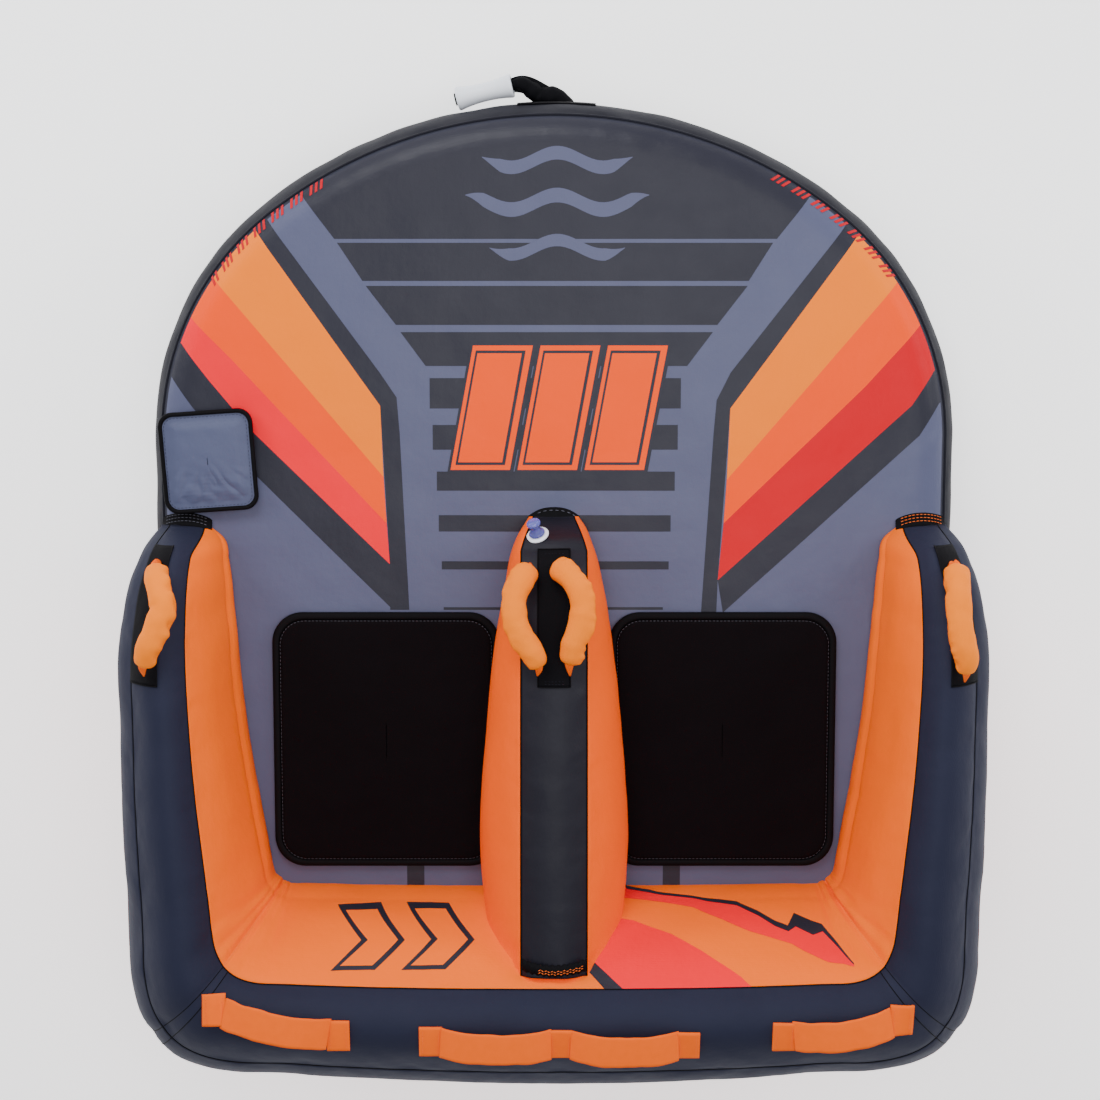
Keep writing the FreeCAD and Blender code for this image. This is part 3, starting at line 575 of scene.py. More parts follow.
def knit_cloth(name, colour, rough=0.8, sheen=0.4, cell=240.0):
    """Nylon-faced neoprene or padded grip cloth: tiny knit cells over soft foam."""
    m = Nodes(name)
    v = m.add("ShaderNodeTexVoronoi", Scale=cell)
    m.link(m.coords(), v.inputs["Vector"])
    tone = m.noise(12.0, 4.0, 0.6)
    m.put("Base Color", m.mix(m.spread(tone, 0, 1), shade(colour, 0.85), shade(colour, 1.12)))
    m.put("Roughness", rough)
    m.put("Specular IOR Level", 0.06)
    m.put("Sheen Weight", sheen)
    m.bump([(m.noise(30.0, 4.0), 0.3, 0.003), (v.outputs["Distance"], 0.35, 0.0006)])
    return m.mat


def hard_plastic(name, colour, rough=0.35, clear=0.0):
    m = Nodes(name)
    m.put("Base Color", m.mix(m.spread(m.noise(18.0, 3.0), 0, 1), shade(colour, 0.94), shade(colour, 1.04)))
    m.put("Roughness", m.spread(m.noise(40.0, 2.0), rough - 0.05, rough + 0.08))
    m.put("Transmission Weight", clear)
    m.put("IOR", 1.46)
    m.bump([(m.noise(70.0, 2.0), 0.12, 0.0006)])
    return m.mat


INK = {
    "dark": rgb(37, 37, 48), "greyblue": rgb(80, 83, 109), "light": (1.0, 0.20, 0.0, 1),
    "mid": (1.0, 0.07, 0.0, 1),
    "badge": (1.0, 0.075, 0.0, 1), "hatch": rgb(190, 20, 34), "redface": (0.93, 0.004, 0.018, 1),
    "red": (0.92, 0.008, 0.022, 1),
    "deepred": (0.6, 0.004, 0.014, 1), "low_orange": (1.0, 0.11, 0.01, 1), "rear": (1.0, 0.15, 0.0, 1)}
M = {
    "side": cover_cloth("side_charcoal_cloth", rgb(27, 27, 35), 0.6, 0.0, gloss=0.08),
    "bolster": cover_cloth("bolster_dark_cloth", rgb(35, 37, 54), 0.6, 0.0, gloss=0.08),
    "divider": cover_cloth("divider_dark_cloth", rgb(22, 21, 31), 0.5, 0.0, gloss=0.2),
    "bottom": cover_cloth("bottom_cloth", rgb(20, 20, 24), 0.7),
    "orange": cover_cloth("cover_orange_cloth", (1.0, 0.12, 0.0, 1), 0.5, 0.0, 0.05, gloss=0.06),
    "orange_rear": cover_cloth("backrest_orange_cloth", (1.0, 0.15, 0.0, 1), 0.5, 0.0, 0.05, gloss=0.06),
    "trim": webbing_cloth("black_binding", rgb(12, 11, 14)),
    "black_web": webbing_cloth("black_webbing", rgb(8, 8, 12)),
    "web": webbing_cloth("orange_webbing", (1.0, 0.13, 0.0, 1)),
    "thread": webbing_cloth("orange_thread", (0.9, 0.17, 0.03, 1)),
    "thread_grey": webbing_cloth("grey_thread", rgb(88, 88, 98)),
    "grip": knit_cloth("orange_grip_knit", (1.0, 0.21, 0.0, 1), 0.7, 0.0),
    "neoprene": knit_cloth("black_neoprene", rgb(12, 8, 11), 0.85, 0.0, 320.0),
    "flap": cover_cloth("flap_grey_nylon", rgb(74, 79, 106), 0.5, 0.05, 0.1, 1.0, 1.4),
    "white": hard_plastic("white_plastic", rgb(238, 242, 250), 0.35),
    "clear": hard_plastic("clear_blue_plastic", rgb(120, 124, 214), 0.12, 0.55),
    "vinyl": hard_plastic("bladder_vinyl_film", rgb(60, 62, 70), 0.4),
    "rim": cover_cloth("rim_dark_cloth", rgb(40, 41, 54), 0.5, gloss=0.15),
    "patch": webbing_cloth("black_patch_cloth", rgb(9, 8, 12)),
    "thread_dark": webbing_cloth("dark_thread", rgb(34, 34, 44)),
    # the flap's side gusset: the flap's own grey-blue painted much darker, as painted shade on the flap's sides
    "flap_side_painted_shade": cover_cloth("flap_side_nylon_painted_shade", rgb(34, 36, 46), 0.55),
    "lid": hard_plastic("grey_valve_plastic", rgb(196, 202, 212), 0.4),
    "zipper": hard_plastic("black_zipper_plastic", rgb(24, 24, 26), 0.4),
}
HOT = ("light", "mid", "badge", "hatch", "redface", "red", "deepred", "low_orange", "rear")
for key, colour in INK.items():
    M["ink_" + key] = cover_cloth("ink_" + key, colour, 0.38, 0.0, 0.06, gloss=0.08 if key in HOT else 0.22)


# ------------------------------------------------------------------ deck covers
def deck_pieces():
    grid = deck_rings_top()
    top = grid_object("deck_top_cover", grid, M["ink_greyblue"], close=True)
    top.data.materials.append(M["rim"])
    for face in top.data.polygons[:RIM_ROW * grid.shape[1]]:
        face.material_index = 1
    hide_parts("deck_top_panel")
    band = np.array([side_ring(a) for a in np.linspace(-SEAM_ANGLE, SEAM_ANGLE, 40)])
    n = unit(band[..., :2] - np.array((0.0, -60.0)))
    along = np.arange(band.shape[1]) * 9.6
    grid_along = np.broadcast_to(along[None, :], band.shape[:2])
    height = band[..., 2]
    push = 1.6 * wave(grid_along, height, 170, 80, 2)
    push = push + 1.8 * puckers(grid_along, height - SEAM, 81, 24, 30)
    push = push + 1.8 * puckers(grid_along, DECK_Z - SEAM - height, 83, 24, 30)
    edge = smooth(height, SEAM, SEAM + 14) * smooth(DECK_Z - SEAM - height, 0, 14)
    band[..., :2] += n * (np.minimum(push, 2.4) * edge)[..., None]
    side = grid_object("deck_side_cover", band, M["side"], close=True)
    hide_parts("deck_side_band")
    rings = [side_ring(a) for a in np.linspace(-SEAM_ANGLE, -90, 10)]
    inner = rings[-1]
    for t in np.linspace(0, 1, 24)[1:]:
        ring = inner.copy()
        ring[:, :2] *= max(1 - t, 0.002)
        ring[:, 2] = 0.0
        rings.append(ring)
    bottom = grid_object("deck_bottom_cover", np.array(rings)[:, ::-1], M["bottom"], close=True)
    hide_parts("deck_bottom_panel")
    for obj in (top, side, bottom):
        thicken(obj, COVER)
    pipes = [
        tube_object("deck_piping_" + end, side_ring(sign * SEAM_ANGLE, 0.6), 2.7, M["side"], 8, closed=True)
        for end, sign in (("top", 1), ("bottom", -1))]
    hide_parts("deck_edge_piping")
    # the bladder inside, clear of the covers
    sides = []
    for angle in np.linspace(-90, 90, 22):
        a = math.radians(angle)
        ring = outline(ROUNDING * (1 - math.cos(a) ** FULLNESS) + 12)
        z = DECK_Z / 2 + 106 * math.copysign(abs(math.sin(a)) ** FULLNESS, a)
        sides.append(np.concatenate([ring, np.full((len(ring), 1), z)], axis=1))
    floor, roof = ([end * np.array((s, s, 1.0)) for s in (0.7, 0.4, 0.002)] for end in (sides[0], sides[-1]))
    rings = floor[::-1] + sides + roof
    bladder = grid_object("deck_air_bladder", np.array(rings), M["vinyl"], close=True)
    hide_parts("deck_bladder")
    return grid


def bolster_pieces():
    looks = {
        "inner": ("orange_rear", "cover_orange"),
        "top": ("bolster", "cover_charcoal"),
        "outer": ("bolster", "cover_charcoal")}
    grids = {part: bolster_grid(part) for part in looks}
    # neighbouring panels share their seam line
    inner_seam = (grids["inner"][:, -1] + grids["top"][:, 0]) / 2
    grids["inner"][:, -1] = grids["top"][:, 0] = inner_seam
    outer_seam = (grids["top"][:, -1] + grids["outer"][:, 0]) / 2
    grids["top"][:, -1] = grids["outer"][:, 0] = outer_seam
    for part, (look, slot) in looks.items():
        obj = grid_object("bolster_" + part + "_cover", grids[part], M[look])
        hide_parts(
            "backrest_" + part + "_panel", "left_arm_" + part + "_panel", "right_arm_" + part + "_panel")
        thicken(obj, COVER, 0)
    tube_object("bolster_inner_seam", inner_seam, 1.6, M["trim"], 6)
    tube_object("bolster_outer_seam", outer_seam, 1.6, M["trim"], 6)
    # the mitre seams at the rear corners, double on the dark panels
    peak = int(np.argmax(FRAMES[:len(FRAMES) // 2, 7]))
    for side, at, way in (("left", peak, 1), ("right", len(FRAMES) - 1 - peak, -1)):
        for part in PARTS:
            steps, radius, look = ((0,), 0.7, "thread") if part == "inner" else ((0, 2), 0.9, "trim")
            n = normals_of(grids[part]) * FLIP
            for k, step in enumerate(steps):
                row = at + way * step
                line = grids[part][row] + n[row] * 0.3
                seam_line = tube_object("%s_mitre_seam_%s_%d" % (side, part, k), line, radius, M[look], 6)
    ring = np.concatenate([bolster_plain(part)[:, ::6] for part in PARTS], axis=1)
    centre = ring.mean(axis=1, keepdims=True)
    inside = centre + (ring - centre) * 0.88
    bladder = grid_object("bolster_air_bladder", inside[16:-16], M["vinyl"], close=True)
    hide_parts("backrest_bladder", "left_arm_bladder", "right_arm_bladder")
    return grids


def divider_pieces():
    grids = {p: divider_grid(p) for p in DPARTS}
    for side, column in (("left", 0), ("right", -1)):
        line = (grids[side][:, -1] + grids["top"][:, column]) / 2
        grids[side][:, -1] = grids["top"][:, column] = line
        tube_object("divider_seam_" + side, line, 1.5, M["trim"], 6)
    looks = {
        "left": ("orange", "cover_orange", "divider_left_panel"),
        "top": ("divider", "cover_charcoal", "divider_top_panel"),
        "right": ("orange", "cover_orange", "divider_right_panel")}
    for part, (look, slot, node) in looks.items():
        obj = grid_object("divider_" + part + "_cover", grids[part], M[look])
        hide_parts(node)
        thicken(obj, COVER, 0)
    for name, row, way in (("rear", -1, -7.0), ("front", 0, 3.0)):
        end = np.concatenate([grids["left"][row], grids["top"][row, 1:], grids["right"][row, ::-1][1:]])
        middle = np.array((0.0, end[0, 1], end[:, 2].min() * 0.5 + end[:, 2].max() * 0.5))
        rows = [
            end + (middle - end) * share + np.array((0, way * depth, 0))
            for share, depth in ((0, 0), (0.06, 0.5), (0.25, 0.85), (0.6, 1.0), (0.98, 1.0))]
        cap = grid_object("divider_%s_end" % name, np.array(rows), M["orange"])
        thicken(cap, COVER, 0)
    ring = np.concatenate([divider_plain(part)[:, ::step] for part, step in zip(DPARTS, (6, 6, -6))], axis=1)
    centre = ring.mean(axis=1, keepdims=True)
    bladder = grid_object("divider_air_bladder", (centre + (ring - centre) * 0.84)[24:-6], M["vinyl"],
        close=True)
    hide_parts("divider_bladder")
    return grids


DECK = deck_pieces()
BOLSTER = bolster_pieces()
DIVIDER_GRIDS = divider_pieces()


# ------------------------------------------------------------------ prints
FIRST, SECOND = 0.9, 1.2                     # how far a cover's print stands off it, and a print on that print


class Print:
    """Shapes printed on a cover: they are cut out of the cover's own facets and lifted a hair off it."""

    def __init__(self, points, chart, close=False):
        rows, cols = points.shape[:2]
        self.faces = np.array(grid_faces(rows, cols, close))
        self.points, self.chart = points.reshape(-1, 3), chart.reshape(-1, 2)
        self.low = self.chart[self.faces].min(axis=1)
        self.high = self.chart[self.faces].max(axis=1)
        self.inks = {}

    def cut(self, ink, polygon, lift):
        """A convex polygon, in the cover's chart."""
        poly = np.array(polygon, float)
        turn = np.roll(poly, -1, axis=0)
        if np.sum(poly[:, 0] * turn[:, 1] - turn[:, 0] * poly[:, 1]) < 0:
            poly = poly[::-1]
        near = np.all((self.high > poly.min(axis=0)) & (self.low < poly.max(axis=0)), axis=1)
        near &= np.all(self.high - self.low < 120.0, axis=1)          # not the facets that span the chart
        if not near.any():
            return
        used, back = np.unique(self.faces[near], return_inverse=True)
        bm = bmesh.new()
        place = bm.verts.layers.float_vector.new("place")
        made = []
        for i in used:
            v = bm.verts.new((*self.chart[i], 0.0))
            v[place] = self.points[i]
            made.append(v)
        for face in back.reshape(-1, 4):
            bm.faces.new([made[i] for i in face])
        for a, b in zip(poly, np.roll(poly, -1, axis=0)):
            out = Vector((b[1] - a[1], a[0] - b[0], 0.0))
            if out.length < 1e-6:
                continue
            geom = bm.verts[:] + bm.edges[:] + bm.faces[:]
            bmesh.ops.bisect_plane(bm, geom=geom, dist=1e-4, plane_co=(*a, 0.0), plane_no=out, clear_outer=True)
        bm.verts.index_update()
        verts = [tuple(v[place]) for v in bm.verts]
        faces = [[v.index for v in f.verts] for f in bm.faces]
        bm.free()
        if faces:
            self.inks.setdefault((ink, lift), []).append((verts, faces))

    def shape(self, ink, polygon, lift=0.35):
        """Any polygon without holes."""
        for corners in tessellate_polygon([[Vector((*p, 0.0)) for p in polygon]]):
            self.cut(ink, [polygon[i] for i in corners], lift)

    def band(self, ink, one, other, lift=0.35):
        """The strip between two lines of the same number of points."""
        for i in range(len(one) - 1):
            quad_points = [one[i], one[i + 1], other[i + 1], other[i]]
            for corners in ((0, 1, 2), (0, 2, 3)):
                self.cut(ink, [quad_points[c] for c in corners], lift)

    def build(self, name, inside=(0.0, 0.0, -5000.0)):
        whole, mats = bmesh.new(), []
        for (ink, lift), parts in self.inks.items():
            bm = bmesh.new()
            for verts, faces in parts:
                made = [bm.verts.new(v) for v in verts]
                for f in faces:
                    bm.faces.new([made[i] for i in f])
            bmesh.ops.remove_doubles(bm, verts=bm.verts, dist=0.02)
            bm.normal_update()
            facing = sum(f.normal.dot(f.calc_center_median() - Vector(inside)) * f.calc_area()
                for f in bm.faces)
            if facing < 0:
                bmesh.ops.reverse_faces(bm, faces=bm.faces)
                bm.normal_update()
            spots = [(v.co + v.normal * lift) * MM for v in bm.verts]
            for v, spot in zip(bm.verts, spots):
                v.co = spot
            if M[ink] not in mats:
                mats.append(M[ink])
            for f in bm.faces:
                f.material_index, f.smooth = mats.index(M[ink]), True
            scratch = bpy.data.meshes.new("scratch")
            bm.to_mesh(scratch)
            bm.free()
            whole.from_mesh(scratch)
            bpy.data.meshes.remove(scratch)
        mesh = bpy.data.meshes.new(name)
        whole.to_mesh(mesh)
        whole.free()
        for m in mats:
            mesh.materials.append(m)
        obj = bpy.data.objects.new(name, mesh)
        bpy.context.scene.collection.objects.link(obj)
        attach(obj, "tube")
        return obj


def deck_print(grid):
    p = Print(grid[RIM_ROW:], grid[RIM_ROW:, :, :2], True)
    far = 900.0
    # dark field over the front, parted by thin lines
    p.shape("ink_dark", [(-395, 615), (401, 615), (465, 695), (520, 765), (520, far), (-520, far), (-520, 780),
        (-460, 700)])
    p.shape("ink_dark", [(-345, 540), (351, 540), (394, 608), (-390, 608)])
    p.shape("ink_dark", [(-285, 461), (295, 461), (349, 531), (-339, 531)])
    p.shape("ink_dark", [(-232, 387), (241, 387), (287, 448), (-277, 448)])
    for low, high, left, right in ((310, 365, -225, 230), (235, 280, -220, 225), (160, 195, -213, 220),
            (85, 115, -210, 213), (15, 30, -205, 210), (-60, -55, -202, 200)):
        p.shape("ink_dark", [(left, low), (right, low), (right, high), (left, high)])
    # left shoulder
    p.shape("ink_dark", [(-545, 640), (-600, 720), (-560, 760), (-525, 660), (-315, 375), (-285, 330),
        (-280, 265), (-265, -60), (-300, -60), (-300, 25), (-315, 315)])
    p.shape("ink_light", [(-545, 640), (-315, 315), (-310, 185), (-590, 515), (-700, 640), (-640, 760)])
    p.shape("ink_mid", [(-590, 515), (-310, 185), (-305, 100), (-585, 400), (-660, 475), (-780, 570),
        (-700, 640)])
    p.shape("ink_red", [(-660, 475), (-585, 400), (-305, 100), (-300, 25), (-550, 270), (-625, 360),
        (-675, 425), (-780, 520), (-780, 570)])
    p.shape("ink_dark", [(-675, 425), (-625, 360), (-550, 270), (-300, 25), (-300, -55), (-545, 190),
        (-655, 310), (-695, 365), (-780, 440), (-780, 520)])
    # right shoulder
    p.shape("ink_dark", [(555, 630), (610, 700), (580, 740), (535, 650), (320, 375), (295, 325), (290, 265),
        (270, -65), (298, -65), (300, -5), (320, 310)])
    p.shape("ink_light", [(555, 630), (320, 310), (315, 180), (620, 535), (700, 640), (640, 740)])
    p.shape("ink_mid", [(620, 535), (315, 180), (310, 100), (565, 350), (665, 460), (780, 560), (700, 640)])
    p.shape("ink_deepred", [(665, 460), (565, 350), (310, 100), (300, -5), (650, 315), (690, 375), (780, 470),
        (780, 560)])
    p.shape("ink_dark", [(690, 375), (650, 315), (300, -5), (310, -65), (665, 260), (700, 315), (780, 400),
        (780, 470)])
    for x in (-257, 219):
        p.shape("ink_dark", [(x - 16, -600), (x + 16, -600), (x + 16, -541), (x - 16, -541)])
    # three plain wave bands at the front
    for y, half, thick in ((755, 135, 24), (680, 165, 26), (600, 122, 22)):
        xs = np.linspace(-half, half, 42)
        ys = y + 13.0 * np.cos(xs / 165.0 * 2 * math.pi)
        taper = thick / 2 * np.clip((half - np.abs(xs)) / 34.0, 0.04, 1)
        p.band("ink_greyblue", list(zip(xs + 6, ys + taper)), list(zip(xs + 6, ys - taper)), 0.6)
    # three slanted bars in the middle: edge, rim, keyline and face, each on the one before
    for x in (-182, -60, 62):
        for ink, margin, lean, lift in (
                ("ink_dark", 12, 44, 0.55), ("ink_badge", 6, 42, 0.75),
                ("ink_dark", -3, 38, 0.95), ("ink_badge", -8, 36, 1.15)):
            left, right, low, high = x - margin, x + 96 + margin, 204 - margin, 418 + margin
            p.shape(ink, [(left, low), (right, low), (right + lean, high), (left + lean, high)], lift)
    return p.build("deck_top_print")


def rim_hatch(grid):
    """Short slanted strokes along both front shoulders, between the edge seam and the print."""
    rows = grid[:16]
    run = distances(rows[0])
    inset = edge_distance(rows[..., 0], rows[..., 1])
    chart = np.stack([np.broadcast_to(run, inset.shape), inset], axis=2)
    p = Print(rows, chart)
    for first, last in (((415, 740), (624, 555)), ((-632, 555), (-425, 734))):
        a, b = sorted(run[np.argmin(np.hypot(rows[0, :, 0] - q[0], rows[0, :, 1] - q[1]))]
            for q in (first, last))
        at, k = a, 0
        while at < b:
            p.shape("ink_hatch", [(at, 27.5), (at + 5.4, 27.5), (at + 14.4, 42), (at + 9.0, 42)], FIRST)
            k += 1
            at += 11.0 if k % 3 else 21.0
    return p.build("deck_rim_hatch")


def backrest_print(grid):
    """The printed inner face of the backrest, right of the divider, and two plain chevrons left of it."""
    p = Print(grid, grid[..., :2])

    def at(points):
        return [(x, -580.0 - 106.0 * s) for x, s in points]
    p.shape("ink_dark", at([(40, .66), (63, .66), (126, 1.06), (92, 1.06)]), FIRST)
    p.shape("ink_redface", at([(63, .66), (60, .50), (86, .36), (101, .24), (144, .28), (211, .41), (264, .58),
        (307, .76), (330, .87), (356, 1.06), (126, 1.06)]), FIRST)
    top = [(96, -.08), (120, -.03), (136, .02), (191, .054), (274, .10), (335, .14), (372, .23), (400, .325),
        (422, .37), (436, .315), (465, .40), (483, .36), (530, .70)]
    low = [(96, .06), (108, .08), (150, .095), (200, .115), (255, .16), (292, .24), (350, .37), (390, .44),
        (425, .50), (445, .57), (466, .63), (486, .69), (530, .72)]
    p.band("ink_redface", at(top), at(low), FIRST)
    weights = (0, .012, .016, .018, .022, .034, .045, .055, .06, .13, .15, .08, .02)
    line = [(x, s - t) for (x, s), t in zip(top, weights)]
    p.band("ink_dark", at(top[1:]), at(line[1:]), SECOND)
    # two outlined chevrons
    for x in (-395, -270):
        outer = [(x, .12), (x + 78, .12), (x + 128, .46), (x + 78, .80), (x, .80), (x + 50, .46)]
        inner = [(x + 16, .17), (x + 73, .17), (x + 116, .46), (x + 73, .75), (x + 16, .75), (x + 62, .46)]
        p.shape("ink_dark", at(outer), FIRST)
        p.shape("ink_rear", at(inner), 1.25)
    return p.build("backrest_face_print")


def outer_print(grid):
    """The bolster's outer face: orange below its widest line, with red lengths at the corners."""
    down = np.linspace(0, 100, grid.shape[1])        # share of the way down the face, in hundredths
    chart = np.stack(np.broadcast_arrays(RUN[:, None], down[None, :]), axis=2)
    p = Print(grid, chart)
    last = RUN[-1]
    p.shape("ink_low_orange", [(230, 37), (last - 230, 37), (last - 130, 101), (130, 101)], 0.8)
    for side in (0, 1):
        for a, b in ((560, 700), (800, 960)):
            low, high = (a, b) if side == 0 else (last - b, last - a)
            lean = 60 if side == 0 else -60
            p.shape("ink_redface", [(low, 36.6), (high, 36.6), (high + lean, 101), (low + lean, 101)], SECOND)
    return p.build("bolster_outer_print", (0.0, -200.0, 400.0))


# ------------------------------------------------------------------ seat pads and the valve flap
def rounded_loop(width, length, radius, centre, tilt=0.0):
    """Points round a rounded rectangle, the same number whatever its size."""
    w, l = max(width / 2, 0.5), max(length / 2, 0.5)
    r = max(min(radius, w, l), 1.5)
    out = []
    for sx, sy, start in ((1, 1, 0), (-1, 1, 90), (-1, -1, 180), (1, -1, 270)):
        a = np.radians(np.linspace(start, start + 90, 12))
        out.append(np.stack([sx * (w - r) + r * np.cos(a), sy * (l - r) + r * np.sin(a)], axis=1))
    ring = []
    for i in range(4):
        ring.append(out[i])
        a, b = out[i][-1], out[(i + 1) % 4][0]
        t = np.linspace(0, 1, 36)[1:-1, None]
        ring.append(a * (1 - t) + b * t)
    ring = np.concatenate(ring)
    c, s = math.cos(math.radians(tilt)), math.sin(math.radians(tilt))
    return ring @ np.array([[c, s], [-s, c]]) + np.array(centre)


def cushion_grid(size, corner, centre, low, thick, height, tilt=0.0):
    """A closed flat cushion: height(x, y, distance from the edge) is its top."""
    rows = []

    def ring(inset, z):
        loop = rounded_loop(size[0] - 2 * inset, size[1] - 2 * inset, corner - inset * 0.8, centre, tilt)
        z = z(loop[:, 0], loop[:, 1], inset) if callable(z) else np.full(len(loop), z)
        return np.concatenate([loop, z[:, None]], axis=1)
    deepest = min(size) / 2 - 0.6
    for inset in (deepest, deepest * 0.5, 12.0, 4.0, 1.5):
        rows.append(ring(inset, low))
    rows.append(ring(0.0, low + thick * 0.45))
    for inset in (0.8, 2.2, 4.5, 8.0):
        rows.append(ring(inset, height))
    for inset in np.linspace(12.0, deepest, 34):
        rows.append(ring(inset, height))
    return np.array(rows)


def swept_edge(size, corner, centre, profile, tilt=0.0):
    """A closed section, (inset, height) pairs, carried round a rounded rectangle."""
    rows = []
    for inset, z in profile:
        loop = rounded_loop(size[0] - 2 * inset, size[1] - 2 * inset, corner - inset * 0.8, centre, tilt)
        zz = z(loop[:, 0], loop[:, 1]) if callable(z) else np.full(len(loop), float(z))
        rows.append(np.concatenate([loop, zz[:, None]], axis=1))
    rows.append(rows[0])
    return np.array(rows)


def seat_pads():
    for side, name in ((-1, "left"), (1, "right")):
        cx, cy = side * 308.0 + (2.0 if side > 0 else 0.0), -302.0
        low, seed = DECK_Z + 6.6, 90 + side

        def height(x, y, inset):
            rise = 12.0 * smooth(inset, 0, 9) ** 0.6
            crown = 3.0 * smooth(inset, 20, 150)
            return low + 1.0 + rise + crown + 1.0 * wave(x, y, 120, seed, 2) * smooth(inset, 8, 40)
        size = (416.0, 476.0)
        cushion = cushion_grid((398, 458), 48, (cx, cy), low, 12, height)
        pad = grid_object(name + "_seat_pad_cushion", cushion, M["neoprene"], close=True)
        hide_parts(name + "_seat_pad")
        z = low + 9.5
        profile = [(0, low + 0.5), (-0.8, low + 5), (0, z), (3.5, z + 2.6), (8.0, z + 3.2), (11.5, z + 1.8),
            (12.0, z), (8, low + 4), (4, low)]
        edge = grid_object(name + "_seat_pad_tape", swept_edge(size, 56, (cx, cy), profile), M["trim"],
            close=True)
        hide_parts(name + "_seat_pad_binding")
        stitches_round(name + "_seat_pad_stitches", size, 56, (cx, cy), 14.5, z + 2.9, M["thread_grey"], 0.45)


def stitch_run(name, path, material, length=4.2, gap=2.6, radius=0.55, body="tube"):
    """Short thread stitches along a path, all in one piece."""
    path = np.asarray(path, float)
    run = distances(path)
    at, verts, faces = gap, [], []
    while at + length < run[-1]:
        ends = [np.array([np.interp(at + s * length, run, path[:, k]) for k in range(3)]) for s in (0, 0.5, 1)]
        mid = ends[1] + np.array((0, 0, radius * 0.5))
        rings = tube_points([ends[0], mid, ends[2]], [radius * 0.6, radius, radius * 0.6], 5)
        base = len(verts)
        verts += [tuple(v) for v in rings.reshape(-1, 3)]
        faces += [tuple(base + i for i in face) for face in grid_faces(3, 5, True)]
        faces.append(tuple(base + j for j in range(5))[::-1])
        faces.append(tuple(base + 10 + j for j in range(5)))
        at += length + gap
    if not verts:
        return None
    obj = mesh_object(name, verts, faces, material, body=body)
    return obj


def stitches_round(name, size, corner, centre, inset, z, material, radius=0.55, tilt=0.0, body="tube"):
    loop = rounded_loop(size[0] - 2 * inset, size[1] - 2 * inset, corner - inset * 0.8, centre, tilt)
    loop = np.concatenate([loop, loop[:1]])
    zz = z(loop[:, 0], loop[:, 1]) if callable(z) else np.full(len(loop), z)
    stitch_run(name, np.concatenate([loop, zz[:, None]], axis=1), material, radius=radius, body=body)


FLAP_AT, FLAP_TURN = (-627.0, 215.0), 4.0


def valve_flap():
    cx, cy = FLAP_AT
    size = (172.0, 184.0)

    def top(x, y):
        """The flap's level: it lies over the valve, higher towards the seats and sagging at the rim."""
        u, v = (np.asarray(x) - cx) / 80.0, (np.asarray(y) - cy) / 86.0
        return DECK_Z + 21.5 + 1.6 * u - 1.2 * v * v - 5.0 * smooth(-u, 0.55, 1.05)

    def height(x, y, inset):
        u, v = (x - cx) / 80.0, (y - cy) / 86.0
        rise = 4.0 * smooth(inset, 7, 30) + 3.2 * np.exp(-((u - 0.05) ** 2 + (v - 0.1) ** 2) / 0.35)
        low_third = smooth(-v, 0.0, 0.55) * smooth(inset, 6, 20)
        fan = np.arctan2(x - cx + 6, y - cy - 34) * 62.0
        folds = 2.4 * np.abs(wave(fan, (y - cy) * 0.35, 34, 301, 2)) - 1.1
        small = 0.55 * wave(x * 0.6, y * 1.8, 26, 305, 3)
        return top(x, y) + rise - 1.5 + low_third * (1.3 * folds + small) + 0.3 * wave(x, y, 48, 307, 2)
    cushion = cushion_grid((162, 174), 21, FLAP_AT, DECK_Z + 13, 8, height, FLAP_TURN)
    panel = grid_object("valve_flap_cover", cushion, M["flap"], close=True, body="valve_flap")
    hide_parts("valve_flap_panel")

    def level(drop):
        return lambda x, y: top(x, y) + drop
    profile = [(7.5, level(-1.5)), (6.5, level(2.0)), (3.5, level(3.4)), (0.5, level(2.2)), (-0.6, level(-1.0)),
        (1.0, level(-3.6)), (5.0, level(-4.4))]
    tape = grid_object("valve_flap_edge_tape", swept_edge(size, 26, FLAP_AT, profile, FLAP_TURN), M["trim"],
        close=True, body="valve_flap")
    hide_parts("valve_flap_binding")

    def floor(x, y):
        return deck_top(x, y) + 2.2

    def between(x, y):
        return (top(x, y) - 6 + floor(x, y)) / 2
    # the gusset round the flap is a real strip of cloth; its dark tone is painted shade
    skirt_profile = [(3.0, level(-3.0)), (1.4, level(-6.0)), (1.2, between), (2.6, floor), (5.0, floor),
        (4.4, between), (5.0, level(-5.0))]
    skirt = grid_object("valve_flap_side", swept_edge(size, 26, FLAP_AT, skirt_profile, FLAP_TURN),
        M["flap_side_painted_shade"], close=True, body="valve_flap")
    stitches_round("valve_flap_stitches", size, 26, FLAP_AT, 10.5, lambda x, y: top(x, y) + 2.6,
        M["thread_dark"], 0.4, FLAP_TURN, "valve_flap")


# ------------------------------------------------------------------ handles
def smooth_path(points, count):
    """A soft curve through points, evenly spaced."""
    p = np.array(points, float)
    run = distances(p)
    fine = spline(run, p, np.linspace(0, run[-1], 400))
    fine_run = distances(fine)
    at = np.linspace(0, fine_run[-1], count)
    return np.stack([np.interp(at, fine_run, fine[:, k]) for k in range(3)], axis=1)


def beside(path, across, amount):
    """A row of points across each point of a path, amount along the way that across gives."""
    return path[:, None, :] + across[:, None, :] * amount[..., None]


def frames_along(path, up):
    tangent = unit(np.gradient(path, axis=0))
    up = np.broadcast_to(np.asarray(up, float), path.shape)
    across = unit(np.cross(tangent, up))
    return tangent, across, np.cross(across, tangent)


